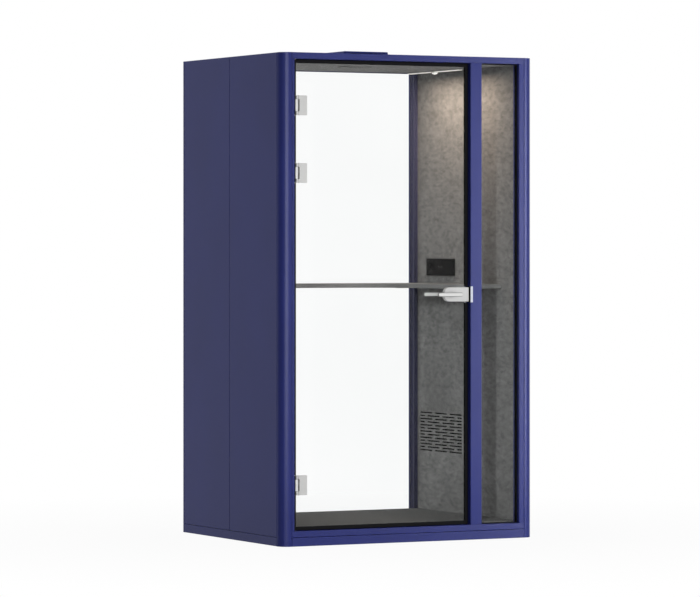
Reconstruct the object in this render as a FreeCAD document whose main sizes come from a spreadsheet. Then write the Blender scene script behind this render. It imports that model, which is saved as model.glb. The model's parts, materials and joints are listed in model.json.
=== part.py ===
# Acoustic office pod, millimetres, Z up, origin on the floor at the middle of the footprint, front towards -Y
import FreeCAD
import Part
import Sketcher
import math
import os
import re

# Driving sizes
sizes = {
    # whole pod
    "pod_width": 1350, "pod_depth": 1120, "pod_height": 2300,
    # posts and base
    "corner_radius": 50, "post_flat": 4, "post_wall": 3.5, "seam_width": 2.5, "seam_depth": 3,
    "plinth_height": 42, "plinth_seam": 1.5, "beam_width": 80, "beam_wall": 3,
    "foot_pad": 1, "foot_radius": 30, "foot_bevel": 0.4, "stem_radius": 6, "stem_length": 24,
    "stem_clearance": 0.3, "foot_inset": 130,
    # frames and glazing
    "frame_depth": 60, "frame_wall": 3, "edge_round": 1.5, "rail_height": 30,
    "hinge_jamb_reach": 66, "glass_jamb_reach": 80, "mullion_width": 60, "sidelight_width": 206,
    "glass_thickness": 10, "glass_setback": 25, "gasket_width": 5, "gasket_bite": 3, "gasket_depth": 20,
    # walls, floor and roof
    "wall_thickness": 60, "panel_depth": 20, "panel_sheet": 2, "panel_bend": 1.8, "panel_seam": 3,
    "felt_thickness": 12, "deck_thickness": 30, "carpet_thickness": 8,
    "roof_thickness": 18, "roof_inset": 2, "ceiling_thickness": 12,
    # air slots in the right lining
    "slot_length": 122, "slot_height": 6.5, "slot_gap": 30, "slot_pitch": 15.6, "slot_rows": 7,
    "grille_rear_margin": 31, "grille_rise": 302, "air_chamber": 22,
    # door leaf, seals and stops
    "door_gap": 4, "seal_width": 12, "seal_bite": 3, "seal_thickness": 14,
    "stop_width": 10, "stop_depth": 10, "stop_clearance": 1, "stop_start": 34,
    # hinges
    "hinge_offset": 26, "hinge_bottom_drop": 212, "hinge_top_drop": 216, "hinge_spacing": 315,
    "hinge_height": 92, "hinge_plate": 10, "hinge_plate_width": 44, "clamp_thickness": 5, "clamp_start": 6,
    "clamp_reach": 50, "knuckle_radius": 8, "knuckle_height": 54, "pin_radius": 4, "pin_length": 88,
    "pin_clearance": 0.05, "pin_grip": 0.02, "hinge_clearance": 1, "notch_round": 6,
    # lock
    "lock_height": 1168.5, "lock_length": 134, "inner_case_length": 112, "lock_tall": 68,
    "lock_thickness": 20, "lock_round": 30, "lock_edge_round": 3, "lock_gap": 7, "lock_backset": 68,
    "lock_notch_length": 90, "lock_notch_height": 44,
    "spindle_side": 8, "spindle_bore": 6.5, "spindle_grip": 22, "spindle_clearance": 0.05,
    "lever_length": 126, "lever_tall": 19, "lever_thickness": 11, "lever_stand": 41, "lever_round": 3.5,
    "neck_radius": 9, "neck_gap": 0.5,
    "latch_length": 53, "latch_tall": 20, "latch_thickness": 9.4, "latch_throw": 12, "latch_bevel": 5,
    "strike_tall": 76, "strike_sheet": 2, "strike_lip": 11, "strike_depth": 46, "strike_clearance": 2,
    # desk
    "desk_height": 1214, "desk_thickness": 21, "desk_gap": 1, "desk_rear_depth": 208,
    "desk_return_width": 259, "desk_return_start": 145, "desk_inner_radius": 300,
    "desk_corner_radius": 60, "desk_edge_round": 3,
    "bracket_arm": 170, "bracket_leg": 30, "bracket_plate": 4, "bracket_width": 40,
    # power panel
    "panel_border": 10, "panel_face": 9, "panel_rise": 38, "panel_rear_offset": 249, "panel_corner": 4,
    "box_wall": 1.5, "box_gap": 0.5, "box_depth": 11, "box_floor": 2,
    "module_length": 80, "module_height": 64, "module_gap": 10, "module_sink": 1,
    "rocker_clearance": 0.7, "rocker_thickness": 8, "rocker_proud": 1.5,
    "rocker_pin_radius": 1.2, "rocker_pin_clearance": 0.1, "rocker_pin_grip": 1,
    # lamp
    "lamp_length": 520, "lamp_width": 30, "lamp_height": 4, "lamp_rear_margin": 10, "lamp_inset": 50,
    "cover_width": 25, "cover_height": 3, "cover_round": 2,
    "sensor_radius": 18, "sensor_rim": 5, "sensor_dome": 9,
    # roof fan
    "fan_bore": 70, "fan_frame": 160, "fan_frame_height": 30, "fan_frame_round": 8, "fan_boss": 26,
    "fan_strut": 8, "fan_floor": 3, "axle_radius": 3, "axle_length": 20, "axle_clearance": 0.05,
    "hub_radius": 28, "blade_radius": 66, "blade_thickness": 4, "rotor_height": 22, "rotor_gap": 0.6,
    "blade_chord": 24, "cowl_size": 240, "cowl_height": 38, "cowl_wall": 2.5, "cowl_round": 8,
    "cowl_edge": 6, "cowl_slot": 5,
    "vent_radius": 82, "vent_thickness": 4, "vent_slot": 7, "vent_hub": 16, "vent_rim": 12,
    # cable gland
    "gland_side_inset": 140, "gland_back_inset": 60, "gland_flange": 14, "gland_flange_height": 4,
    "gland_body": 11, "gland_rise": 18, "gland_stem": 9.6, "gland_bore": 5.2, "gland_clearance": 0.3,
}

doc = FreeCAD.newDocument("office_pod")
sheet = doc.addObject("Spreadsheet::Sheet", "Sizes")
for row, (name, number) in enumerate(sizes.items(), start=1):
    sheet.set(f"A{row}", name)
    sheet.set(f"B{row}", str(number))
    sheet.setAlias(f"B{row}", name)
doc.recompute()
nodes = []


# Ties between the sheet and the features
def bound(text):
    words = re.split(r"([a-z_]+)", text)
    return "".join("Sizes." + word if word in sizes else word for word in words)


def value(text):
    return float(sheet.evalExpression(bound(text)))


def tie(item, prop, text):
    item.setExpression(prop, bound(text))


def place(item, x, y, z, turn=0, about=(0, 0, 1)):
    item.Placement = FreeCAD.Placement(FreeCAD.Vector(), FreeCAD.Rotation(FreeCAD.Vector(*about), turn))
    for axis, text in zip("xyz", (x, y, z)):
        tie(item, "Placement.Base." + axis, text)


def keep(item):
    nodes.append(item)
    return item


# Sketches
def new_body(label):
    return doc.addObject("PartDesign::Body", label)


def new_sketch(body, plane, offset="0"):
    sketch = body.newObject("Sketcher::SketchObject", body.Name + "_sketch")
    support = [item for item in body.Origin.OriginFeatures if item.Role == plane + "_Plane"][0]
    sketch.AttachmentSupport = [(support, "")]
    sketch.MapMode = "FlatFace"
    tie(sketch, "AttachmentOffset.Base.z", offset)
    return sketch


def dimension(sketch, kind, element, text, point=1):
    index = sketch.addConstraint(Sketcher.Constraint(kind, -1, 1, element, point, value(text)))
    tie(sketch, f"Constraints[{index}]", text)


def radius(sketch, element, text):
    index = sketch.addConstraint(Sketcher.Constraint("Radius", element, value(text)))
    tie(sketch, f"Constraints[{index}]", text)


def round_corner(sketch, before, after, corner, into, out, text):
    reach = value(text)
    start = corner - into * reach
    end = corner + out * reach
    centre = start + out * reach
    ring = Part.Circle(centre, FreeCAD.Vector(0, 0, 1), reach)
    angles = [math.atan2(point.y - centre.y, point.x - centre.x) for point in (start, end)]
    first, last = (1, 2) if into.cross(out).z > 0 else (2, 1)
    arc = sketch.addGeometry(Part.ArcOfCircle(ring, angles[first - 1], angles[last - 1]))
    sketch.addConstraint(Sketcher.Constraint("Tangent", before, 2, arc, first))
    sketch.addConstraint(Sketcher.Constraint("Tangent", arc, last, after, 1))
    radius(sketch, arc, text)


def outline(sketch, corners):
    # closed outline of level and upright edges, a third entry rounds that corner
    points = [FreeCAD.Vector(value(corner[0]), value(corner[1]), 0) for corner in corners]
    count = len(points)
    ways = [(points[(i + 1) % count] - points[i]).normalize() for i in range(count)]
    cuts = [value(corner[2]) if len(corner) > 2 else 0 for corner in corners]
    lines = []
    for i in range(count):
        start = points[i] + ways[i] * cuts[i]
        end = points[(i + 1) % count] - ways[i] * cuts[(i + 1) % count]
        line = sketch.addGeometry(Part.LineSegment(start, end))
        level = abs(ways[i].y) < abs(ways[i].x)
        sketch.addConstraint(Sketcher.Constraint("Horizontal" if level else "Vertical", line))
        dimension(sketch, "DistanceY" if level else "DistanceX", line, corners[i][1 if level else 0])
        lines.append(line)
    for i in range(count):
        if cuts[i]:
            round_corner(sketch, lines[i - 1], lines[i], points[i], ways[i - 1], ways[i], corners[i][2])
        else:
            sketch.addConstraint(Sketcher.Constraint("Coincident", lines[i - 1], 2, lines[i], 1))


def rectangle(sketch, x0, y0, x1, y1, *rounding):
    outline(sketch, [(x0, y0, *rounding), (x1, y0, *rounding), (x1, y1, *rounding), (x0, y1, *rounding)])


def polygon(sketch, corners):
    points = [FreeCAD.Vector(value(x), value(y), 0) for x, y in corners]
    lines = []
    for i, (x, y) in enumerate(corners):
        line = sketch.addGeometry(Part.LineSegment(points[i], points[(i + 1) % len(points)]))
        dimension(sketch, "DistanceX", line, x)
        dimension(sketch, "DistanceY", line, y)
        lines.append(line)
    for i, line in enumerate(lines):
        sketch.addConstraint(Sketcher.Constraint("Coincident", lines[i - 1], 2, line, 1))


def circle(sketch, x, y, reach):
    centre = FreeCAD.Vector(value(x), value(y), 0)
    ring = sketch.addGeometry(Part.Circle(centre, FreeCAD.Vector(0, 0, 1), value(reach)))
    dimension(sketch, "DistanceX", ring, x, 3)
    dimension(sketch, "DistanceY", ring, y, 3)
    radius(sketch, ring, reach)


# Features
def pad(body, sketch, length, flip=False):
    feature = body.newObject("PartDesign::Pad", body.Name + "_pad")
    feature.Profile = sketch
    feature.Reversed = flip
    tie(feature, "Length", length)
    return feature


def pocket(body, sketch, length=None, flip=False):
    feature = body.newObject("PartDesign::Pocket", body.Name + "_pocket")
    feature.Profile = sketch
    feature.Reversed = flip
    if length is None:
        feature.Type = "ThroughAll"
        feature.Midplane = True
    else:
        tie(feature, "Length", length)
    return feature


def revolve(body, sketch):
    feature = body.newObject("PartDesign::Revolution", body.Name + "_turned")
    feature.Profile = sketch
    feature.ReferenceAxis = (sketch, ["V_Axis"])
    feature.Angle = 360
    return feature


def round_edges(body, base, reach, test):
    doc.recompute()
    names = [f"Edge{i}" for i, edge in enumerate(base.Shape.Edges, start=1) if test(edge.BoundBox)]
    feature = body.newObject("PartDesign::Fillet", body.Name + "_round")
    feature.Base = (base, names)
    tie(feature, "Radius", reach)
    return feature


def pattern(body, kind, source, axis, span, count):
    feature = body.newObject("PartDesign::" + kind, body.Name + "_pattern")
    feature.Originals = [source]
    if kind == "LinearPattern":
        feature.Direction = axis
        tie(feature, "Length", span)
    else:
        feature.Axis = axis
        feature.Angle = 360
    tie(feature, "Occurrences", count)
    body.Tip = feature
    return feature


def on_plane(low, high, level):
    return abs(low - level) < 0.01 and abs(high - level) < 0.01


# Plain pieces
def box(label, x, y, z, length, width, height):
    item = doc.addObject("Part::Box", label)
    tie(item, "Length", length)
    tie(item, "Width", width)
    tie(item, "Height", height)
    place(item, x, y, z)
    return item


def cut(label, base, tool):
    item = doc.addObject("Part::Cut", label)
    item.Base = base
    item.Tool = tool
    return item


def group(label, items):
    item = doc.addObject("Part::Compound", label)
    item.Links = items
    return item


def tube(label, plane, across, tall, wall, length, rounding):
    body = new_body(label)
    sketch = new_sketch(body, plane)
    rectangle(sketch, "0", "0", across, tall, rounding)
    rectangle(sketch, wall, wall, f"{across} - {wall}", f"{tall} - {wall}")
    pad(body, sketch, length, plane == "XZ")
    return body


# Shared levels and lines
post = "(corner_radius + post_flat)"
left = "(0 - pod_width / 2)"
right = "(pod_width / 2)"
front = "(0 - pod_depth / 2)"
back = "(pod_depth / 2)"
seam_top = "(plinth_height + plinth_seam)"
deck_top = "(plinth_height + deck_thickness)"
carpet_top = "(plinth_height + deck_thickness + carpet_thickness)"
roof_top = "(pod_height - roof_inset)"
roof_under = "(pod_height - roof_inset - roof_thickness)"
ceiling_under = "(pod_height - roof_inset - roof_thickness - ceiling_thickness)"
opening_low = "(plinth_height + rail_height)"
opening_high = "(pod_height - rail_height)"
opening_tall = "(pod_height - plinth_height - rail_height * 2)"
opening_left = "(hinge_jamb_reach - pod_width / 2)"
opening_right = "(pod_width / 2 - glass_jamb_reach - sidelight_width - mullion_width)"
opening_wide = "(pod_width - glass_jamb_reach - sidelight_width - mullion_width - hinge_jamb_reach)"
side_light_left = "(pod_width / 2 - glass_jamb_reach - sidelight_width)"
inside_front = "(frame_depth - pod_depth / 2)"
inside_back = "(pod_depth / 2 - frame_depth)"
inside_left = "(wall_thickness - pod_width / 2)"
inside_right = "(pod_width / 2 - wall_thickness)"
inside_wide = "(pod_width - wall_thickness * 2)"
inside_deep = "(pod_depth - frame_depth * 2)"
rail_long = f"(pod_width - {post} * 2)"
wall_long = f"(pod_depth - {post} * 2)"
door_margin = "(door_gap + seal_width)"
glass_mid = "(glass_setback + glass_thickness / 2 - pod_depth / 2)"
pivot_x = "(hinge_jamb_reach - pod_width / 2 + hinge_offset)"
gland_x = f"({inside_right} - gland_side_inset)"
gland_y = f"({inside_back} - gland_back_inset)"
module_pitch = "(module_length + module_gap)"
panel_long = f"({module_pitch} * 2 + module_length + panel_border * 2)"
panel_high = "(module_height + panel_border * 2)"
panel_y = f"({inside_back} - panel_rear_offset)"
panel_z = f"(desk_height + panel_rise + {panel_high} / 2)"
box_half_long = "(module_length * 1.5 + module_gap + box_wall)"
box_half_high = "(module_height / 2 + box_wall)"
lock_edge = f"({opening_right} - lock_gap)"
lock_pivot = f"({opening_right} - lock_gap - lock_backset)"
hinge_levels = {
    "low": f"({opening_low} + hinge_bottom_drop)",
    "middle": f"({opening_high} - hinge_top_drop - hinge_spacing)",
    "high": f"({opening_high} - hinge_top_drop)",
}


# Corner posts, hollow quarter rounds closed at the top, rebated for a shadow seam beside the frames
def corner_post(label, x, y, turn):
    body = new_body(label)
    shell = new_sketch(body, "XY")
    edge = f"({post} - seam_width)"
    outline(shell, [("0", "0", "corner_radius"), (edge, "0"), (edge, "seam_depth"), (post, "seam_depth"),
                    (post, post), ("seam_depth", post), ("seam_depth", edge), ("0", edge)])
    pad(body, shell, "pod_height - foot_pad")
    core = new_sketch(body, "XY")
    far = f"{post} - post_wall"
    outline(core, [("post_wall", "post_wall", "corner_radius - post_wall"), (far, "post_wall"), (far, far),
                   ("post_wall", far)])
    pocket(body, core, "pod_height - foot_pad - post_wall", True)
    place(body, x, y, "foot_pad", turn)
    keep(body)


corner_post("post_front_left", left, front, 0)
corner_post("post_front_right", right, front, 90)
corner_post("post_rear_right", right, back, 180)
corner_post("post_rear_left", left, back, 270)


# Base beams and levelling feet
def base_beam(label, plane, across, length, holes):
    body = tube(label, plane, across, "plinth_height - foot_pad", "beam_wall", length, "edge_round")
    if holes:
        sketch = new_sketch(body, "XY")
        for x, y in holes:
            circle(sketch, x, y, "stem_radius + stem_clearance")
        pocket(body, sketch, "beam_wall * 2", True)
    return keep(body)


side_holes = [("beam_width / 2", f"foot_inset - {post}"),
              ("beam_width / 2", f"pod_depth - {post} - foot_inset")]
cross_long = "(pod_width - beam_width * 2)"
place(base_beam("base_left_beam", "XZ", "beam_width", wall_long, side_holes),
      left, f"{front} + {post}", "foot_pad")
place(base_beam("base_right_beam", "XZ", "beam_width", wall_long, side_holes),
      f"{right} - beam_width", f"{front} + {post}", "foot_pad")
place(base_beam("base_front_beam", "YZ", post, rail_long, []), f"{left} + {post}", front, "foot_pad")
place(base_beam("base_rear_beam", "YZ", post, rail_long, []),
      f"{left} + {post}", f"{back} - {post}", "foot_pad")
place(base_beam("base_cross_beam", "YZ", "beam_width", cross_long, [(f"{cross_long} / 2", "beam_width / 2")]),
      f"{left} + beam_width", "0 - beam_width / 2", "foot_pad")


def foot(name, x, y):
    body = new_body("foot_" + name)
    sketch = new_sketch(body, "XZ")
    polygon(sketch, [("0", "0"), ("foot_radius", "0"), ("foot_radius", "foot_pad - foot_bevel"),
                     ("foot_radius - foot_bevel", "foot_pad"), ("stem_radius", "foot_pad"),
                     ("stem_radius", "foot_pad + stem_length"), ("0", "foot_pad + stem_length")])
    revolve(body, sketch)
    place(body, x, y, "0")
    return body


foot_x = "(pod_width / 2 - beam_width / 2)"
foot_y = "(pod_depth / 2 - foot_inset)"
keep(group("levelling_feet", [
    foot("front_left", f"0 - {foot_x}", f"0 - {foot_y}"), foot("front_right", foot_x, f"0 - {foot_y}"),
    foot("rear_left", f"0 - {foot_x}", foot_y), foot("rear_right", foot_x, foot_y),
    foot("middle", "0", "0")]))


# Front and rear frames
def rail(label, y, z, tall):
    body = keep(tube(label, "YZ", "frame_depth", tall, "frame_wall", rail_long, "edge_round"))
    place(body, f"{left} + {post}", y, z)


def jamb(label, x, y, wide):
    body = keep(tube(label, "XY", wide, "frame_depth", "frame_wall", opening_tall, "edge_round"))
    place(body, x, y, opening_low)
    return body


low_rail = "(rail_height - plinth_seam)"
rail("front_top_rail", front, opening_high, "rail_height")
rail("front_bottom_rail", front, seam_top, low_rail)
rail("rear_top_rail", inside_back, opening_high, "rail_height")
rail("rear_bottom_rail", inside_back, seam_top, low_rail)
jamb("front_hinge_jamb", f"{left} + {post}", front, f"hinge_jamb_reach - {post}")
jamb("front_sidelight_jamb", f"{right} - glass_jamb_reach", front, f"glass_jamb_reach - {post}")
jamb("rear_left_jamb", f"{left} + {post}", inside_back, f"glass_jamb_reach - {post}")
jamb("rear_right_jamb", f"{right} - glass_jamb_reach", inside_back, f"glass_jamb_reach - {post}")
mullion = jamb("front_mullion", opening_right, front, "mullion_width")
latch_hole = new_sketch(mullion, "YZ")
latch_low = f"(lock_height - {opening_low} - latch_tall / 2 - strike_clearance)"
rectangle(latch_hole, "glass_setback + glass_thickness / 2 - latch_thickness / 2 - strike_clearance",
          latch_low,
          "glass_setback + glass_thickness / 2 + latch_thickness / 2 + strike_clearance",
          f"{latch_low} + latch_tall + strike_clearance * 2")
pocket(mullion, latch_hole, "frame_wall * 2", True)


# Fixed glass and its gaskets
def glazing(name, x, y, wide):
    inset = "(gasket_width - gasket_bite)"
    pane = keep(box(name + "_glass", f"{x} + {inset}", y, f"{opening_low} + {inset}", f"{wide} - {inset} * 2",
                    "glass_thickness", f"{opening_tall} - {inset} * 2"))
    face = f"{y} + glass_thickness / 2 - gasket_depth / 2"
    block = box(name + "_gasket_block", x, face, opening_low, wide, "gasket_depth", opening_tall)
    hole = box(name + "_gasket_hole", f"{x} + gasket_width", f"{face} - gasket_bite",
               f"{opening_low} + gasket_width", f"{wide} - gasket_width * 2",
               "gasket_depth + gasket_bite * 2", f"{opening_tall} - gasket_width * 2")
    ring = cut(name + "_gasket_ring", block, hole)
    return cut(name + "_gasket", ring, pane)


keep(group("glazing_gaskets", [
    glazing("sidelight", side_light_left, f"{front} + glass_setback", "sidelight_width"),
    glazing("rear", f"{left} + glass_jamb_reach", f"{back} - glass_setback - glass_thickness",
            "(pod_width - glass_jamb_reach * 2)")]))


# Outer wall panels, folded trays
def wall_panel(label, x, y, turn):
    wide = f"({wall_long} / 2 - panel_seam / 2)"
    tall = f"(pod_height - {seam_top})"
    body = new_body(label)
    face = new_sketch(body, "YZ")
    rectangle(face, "0", "0", wide, tall)
    sheet_pad = pad(body, face, "panel_depth")
    inner = new_sketch(body, "YZ", "panel_depth")
    rectangle(inner, "panel_sheet", "panel_sheet", f"{wide} - panel_sheet", f"{tall} - panel_sheet")
    round_edges(body, sheet_pad, "panel_bend", lambda edge: on_plane(edge.XMin, edge.XMax, 0))
    pocket(body, inner, "panel_depth - panel_sheet")
    place(body, x, y, seam_top, turn)
    keep(body)


wall_panel("left_panel_front", left, f"{front} + {post}", 0)
wall_panel("left_panel_rear", left, "panel_seam / 2", 0)
wall_panel("right_panel_front", right, "0 - panel_seam / 2", 180)
wall_panel("right_panel_rear", right, f"{back} - {post}", 180)


# Insulation inside the walls
def insulation(name, x, y):
    edge = "(panel_sheet + 0.5)"
    return box("insulation_" + name, x, f"{y} + {edge}", f"{seam_top} + {edge}",
               "wall_thickness - felt_thickness - panel_sheet",
               f"{wall_long} / 2 - panel_seam / 2 - {edge} * 2", f"{roof_under} - {seam_top} - {edge}")


front_bay = f"{front} + {post}"
rear_bay = "panel_seam / 2"
fill_right = f"{right} - wall_thickness + felt_thickness"
grille_wide = "(slot_length * 3 + slot_gap * 2)"
grille_tall = "(slot_pitch * (slot_rows * 2 - 2) + slot_height)"
grille_start = f"({inside_back} - grille_rear_margin - {grille_wide})"
grille_low = f"({deck_top} + grille_rise)"
chamber = box("air_chamber", fill_right, grille_start, grille_low, "air_chamber", grille_wide, grille_tall)
keep(group("wall_insulation", [
    insulation("left_front", f"{left} + panel_sheet", front_bay),
    insulation("left_rear", f"{left} + panel_sheet", rear_bay),
    insulation("right_front", fill_right, front_bay),
    cut("insulation_right_rear", insulation("right_block", fill_right, rear_bay), chamber)]))


# Felt linings, the right one slotted and cut out for the power panel
def felt(label, x):
    body = new_body(label)
    board = new_sketch(body, "YZ")
    rectangle(board, "0", "0", inside_deep, f"{roof_under} - {deck_top}")
    pad(body, board, "felt_thickness")
    place(body, x, inside_front, deck_top)
    return keep(body)


def slot_row(body, starts, ends, level, count):
    sketch = new_sketch(body, "YZ")
    for start, end in zip(starts, ends):
        rectangle(sketch, f"{row_start} + {start}", level, f"{row_start} + {end}", f"{level} + slot_height",
                  "slot_height * 0.45")
    row = pocket(body, sketch)
    pattern(body, "LinearPattern", row, (sketch, ["V_Axis"]), f"slot_pitch * 2 * ({count} - 1)", count)


felt("left_felt_lining", f"{left} + wall_thickness - felt_thickness")
right_felt = felt("right_felt_lining", inside_right)
cutout = new_sketch(right_felt, "YZ")
cutout_y = f"({inside_deep} - panel_rear_offset)"
cutout_z = f"({panel_z} - {deck_top})"
cutout_long = f"({box_half_long} + box_gap)"
cutout_high = f"({box_half_high} + box_gap)"
rectangle(cutout, f"{cutout_y} - {cutout_long}", f"{cutout_z} - {cutout_high}",
          f"{cutout_y} + {cutout_long}", f"{cutout_z} + {cutout_high}")
pocket(right_felt, cutout)
row_start = f"({inside_deep} - grille_rear_margin - {grille_wide})"
step = "(slot_length + slot_gap)"
short = "(slot_length / 2 - slot_gap / 2)"
slot_row(right_felt, ["0", step, f"{step} * 2"], ["slot_length", f"{step} + slot_length", grille_wide],
         "grille_rise", "slot_rows")
slot_row(right_felt, ["0", f"{short} + slot_gap", f"{short} + slot_gap + {step}", f"{grille_wide} - {short}"],
         [short, f"{short} + {step}", f"{short} + {step} * 2", grille_wide],
         "grille_rise + slot_pitch", "slot_rows - 1")


# Floor, roof and ceiling
keep(box("floor_deck", f"{inside_left} - felt_thickness", inside_front, "plinth_height",
         f"{inside_wide} + felt_thickness * 2", inside_deep, "deck_thickness"))
keep(box("floor_carpet", inside_left, inside_front, deck_top, inside_wide, inside_deep, "carpet_thickness"))


def overhead(label, z, thick, edge, *holes):
    body = new_body(label)
    plate = new_sketch(body, "XY")
    outline(plate, edge)
    for hole in (("0", "0", "fan_bore"), *holes):
        circle(plate, *hole)
    pad(body, plate, thick)
    place(body, "0", "0", z)
    keep(body)


roof_side = "(pod_width / 2 - panel_depth)"
roof_step = f"(pod_width / 2 - {post})"
roof_end = f"(pod_depth / 2 - {post})"
roof_edge = [(f"0 - {roof_side}", f"0 - {roof_end}"), (f"0 - {roof_step}", f"0 - {roof_end}"),
             (f"0 - {roof_step}", inside_front), (roof_step, inside_front),
             (roof_step, f"0 - {roof_end}"), (roof_side, f"0 - {roof_end}"),
             (roof_side, roof_end), (roof_step, roof_end), (roof_step, inside_back),
             (f"0 - {roof_step}", inside_back), (f"0 - {roof_step}", roof_end),
             (f"0 - {roof_side}", roof_end)]
ceiling_edge = [(inside_left, inside_front), (inside_right, inside_front), (inside_right, inside_back),
                (inside_left, inside_back)]
overhead("roof_panel", roof_under, "roof_thickness", roof_edge,
         (gland_x, gland_y, "gland_stem + gland_clearance"))
overhead("ceiling_panel", ceiling_under, "ceiling_thickness", ceiling_edge)


# Door stop strips behind the leaf
def stop_strip(name, x, z, wide, tall):
    y = f"{front} + glass_setback + glass_thickness / 2 + seal_thickness / 2 + stop_clearance"
    return box("stop_" + name, x, y, z, wide, "stop_depth", tall)


stop_x = f"({opening_left} + stop_start)"
stop_wide = f"({opening_right} - {stop_x})"
side_x = f"({opening_right} - stop_width)"
lock_half = "(strike_tall / 2 + hinge_clearance)"
stop_low = f"({opening_low} + stop_width)"
keep(group("door_stop_strips", [
    stop_strip("bottom", stop_x, opening_low, stop_wide, "stop_width"),
    stop_strip("top", stop_x, f"{opening_high} - stop_width", stop_wide, "stop_width"),
    stop_strip("side_low", side_x, stop_low, "stop_width", f"lock_height - {lock_half} - {stop_low}"),
    stop_strip("side_high", side_x, f"lock_height + {lock_half}", "stop_width",
               f"{opening_high} - stop_width - lock_height - {lock_half}")]))


# Door glass with notches for the hinges and the lock
door_glass = keep(new_body("door_glass"))
glass_x = f"({opening_left} + {door_margin})"
glass_z = f"({opening_low} + {door_margin})"
glass_wide = f"({opening_wide} - {door_margin} * 2)"
glass_tall = f"({opening_tall} - {door_margin} * 2)"
notch_reach = f"({pivot_x} - {glass_x} + knuckle_radius + hinge_clearance * 6)"
notch_half = "(hinge_height / 2 + hinge_clearance)"
lock_low = f"(lock_height - {glass_z} - lock_notch_height / 2)"
lock_in = f"({lock_edge} - lock_notch_length - {glass_x})"
leaf = [("0", "0"), (glass_wide, "0"), (glass_wide, lock_low), (lock_in, lock_low, "notch_round"),
        (lock_in, f"{lock_low} + lock_notch_height", "notch_round"),
        (glass_wide, f"{lock_low} + lock_notch_height"), (glass_wide, glass_tall), ("0", glass_tall)]
for level in ("high", "middle", "low"):
    centre = f"({hinge_levels[level]} - {glass_z})"
    leaf += [("0", f"{centre} + {notch_half}"), (notch_reach, f"{centre} + {notch_half}", "notch_round"),
             (notch_reach, f"{centre} - {notch_half}", "notch_round"), ("0", f"{centre} - {notch_half}")]
leaf_sketch = new_sketch(door_glass, "XZ")
outline(leaf_sketch, leaf)
pad(door_glass, leaf_sketch, "glass_thickness", True)
place(door_glass, glass_x, f"{front} + glass_setback", glass_z)


# Clip-on edge seals around the leaf, interrupted at the hinges and the lock
def seal_strip(name, x, z, wide, tall):
    return box("seal_" + name, x, f"{glass_mid} - seal_thickness / 2", z, wide, "seal_thickness", tall)


seal_x = f"({opening_left} + door_gap)"
seal_z = f"({opening_low} + door_gap)"
seal_deep = "(seal_width + seal_bite)"
seal_end = f"({opening_high} - door_gap - {seal_deep})"
seal_start = f"({seal_z} + {seal_deep})"
seal_side = f"({opening_right} - door_gap - {seal_deep})"
strips = [seal_strip("bottom", seal_x, seal_z, f"{opening_wide} - door_gap * 2", seal_deep),
          seal_strip("top", seal_x, seal_end, f"{opening_wide} - door_gap * 2", seal_deep),
          seal_strip("lock_low", seal_side, seal_start, seal_deep,
                     f"lock_height - {lock_half} - {seal_start}"),
          seal_strip("lock_high", seal_side, f"lock_height + {lock_half}", seal_deep,
                     f"{seal_end} - lock_height - {lock_half}")]
runs = [seal_start]
for level in ("low", "middle", "high"):
    runs += [f"({hinge_levels[level]} - {notch_half})", f"({hinge_levels[level]} + {notch_half})"]
runs.append(seal_end)
for index in range(0, len(runs), 2):
    run_tall = f"{runs[index + 1]} - {runs[index]}"
    strips.append(seal_strip(f"hinge_{index}", seal_x, runs[index], seal_deep, run_tall))
blank = box("leaf_blank", glass_x, f"{front} + glass_setback", glass_z,
            glass_wide, "glass_thickness", glass_tall)
keep(cut("door_edge_seals", group("seal_strips", strips), blank))


# Hinges, each about its own pin at the middle of the glass
half_hinge = "(hinge_height / 2)"
half_knuckle = "(knuckle_height / 2)"
half_glass = "(glass_thickness / 2)"
plate_out = "(hinge_offset - hinge_plate)"


def hinge_bracket(name):
    body = new_body("bracket_" + name)
    plate = new_sketch(body, "YZ", "0 - hinge_offset")
    rectangle(plate, "0 - hinge_plate_width / 2", f"0 - {half_hinge}", "hinge_plate_width / 2", half_hinge,
              "edge_round")
    pad(body, plate, "hinge_plate")
    knuckle = new_sketch(body, "XY", f"0 - {half_knuckle}")
    outline(knuckle, [(f"0 - {plate_out} - hinge_plate / 2", "0 - knuckle_radius"),
                      ("knuckle_radius", "0 - knuckle_radius", "knuckle_radius * 0.95"),
                      ("knuckle_radius", "knuckle_radius", "knuckle_radius * 0.95"),
                      (f"0 - {plate_out} - hinge_plate / 2", "knuckle_radius")])
    pad(body, knuckle, "knuckle_height")
    bore = new_sketch(body, "XY")
    circle(bore, "0", "0", "pin_radius + pin_clearance")
    pocket(body, bore)
    return body


def clamp_outline(sketch):
    notch = "(knuckle_radius + hinge_clearance * 2)"
    gap = f"({half_knuckle} + hinge_clearance)"
    outline(sketch, [("clamp_start", f"0 - {half_hinge}"),
                     ("clamp_reach", f"0 - {half_hinge}", "edge_round"),
                     ("clamp_reach", half_hinge, "edge_round"), ("clamp_start", half_hinge),
                     ("clamp_start", gap), (notch, gap), (notch, f"0 - {gap}"),
                     ("clamp_start", f"0 - {gap}")])


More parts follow.
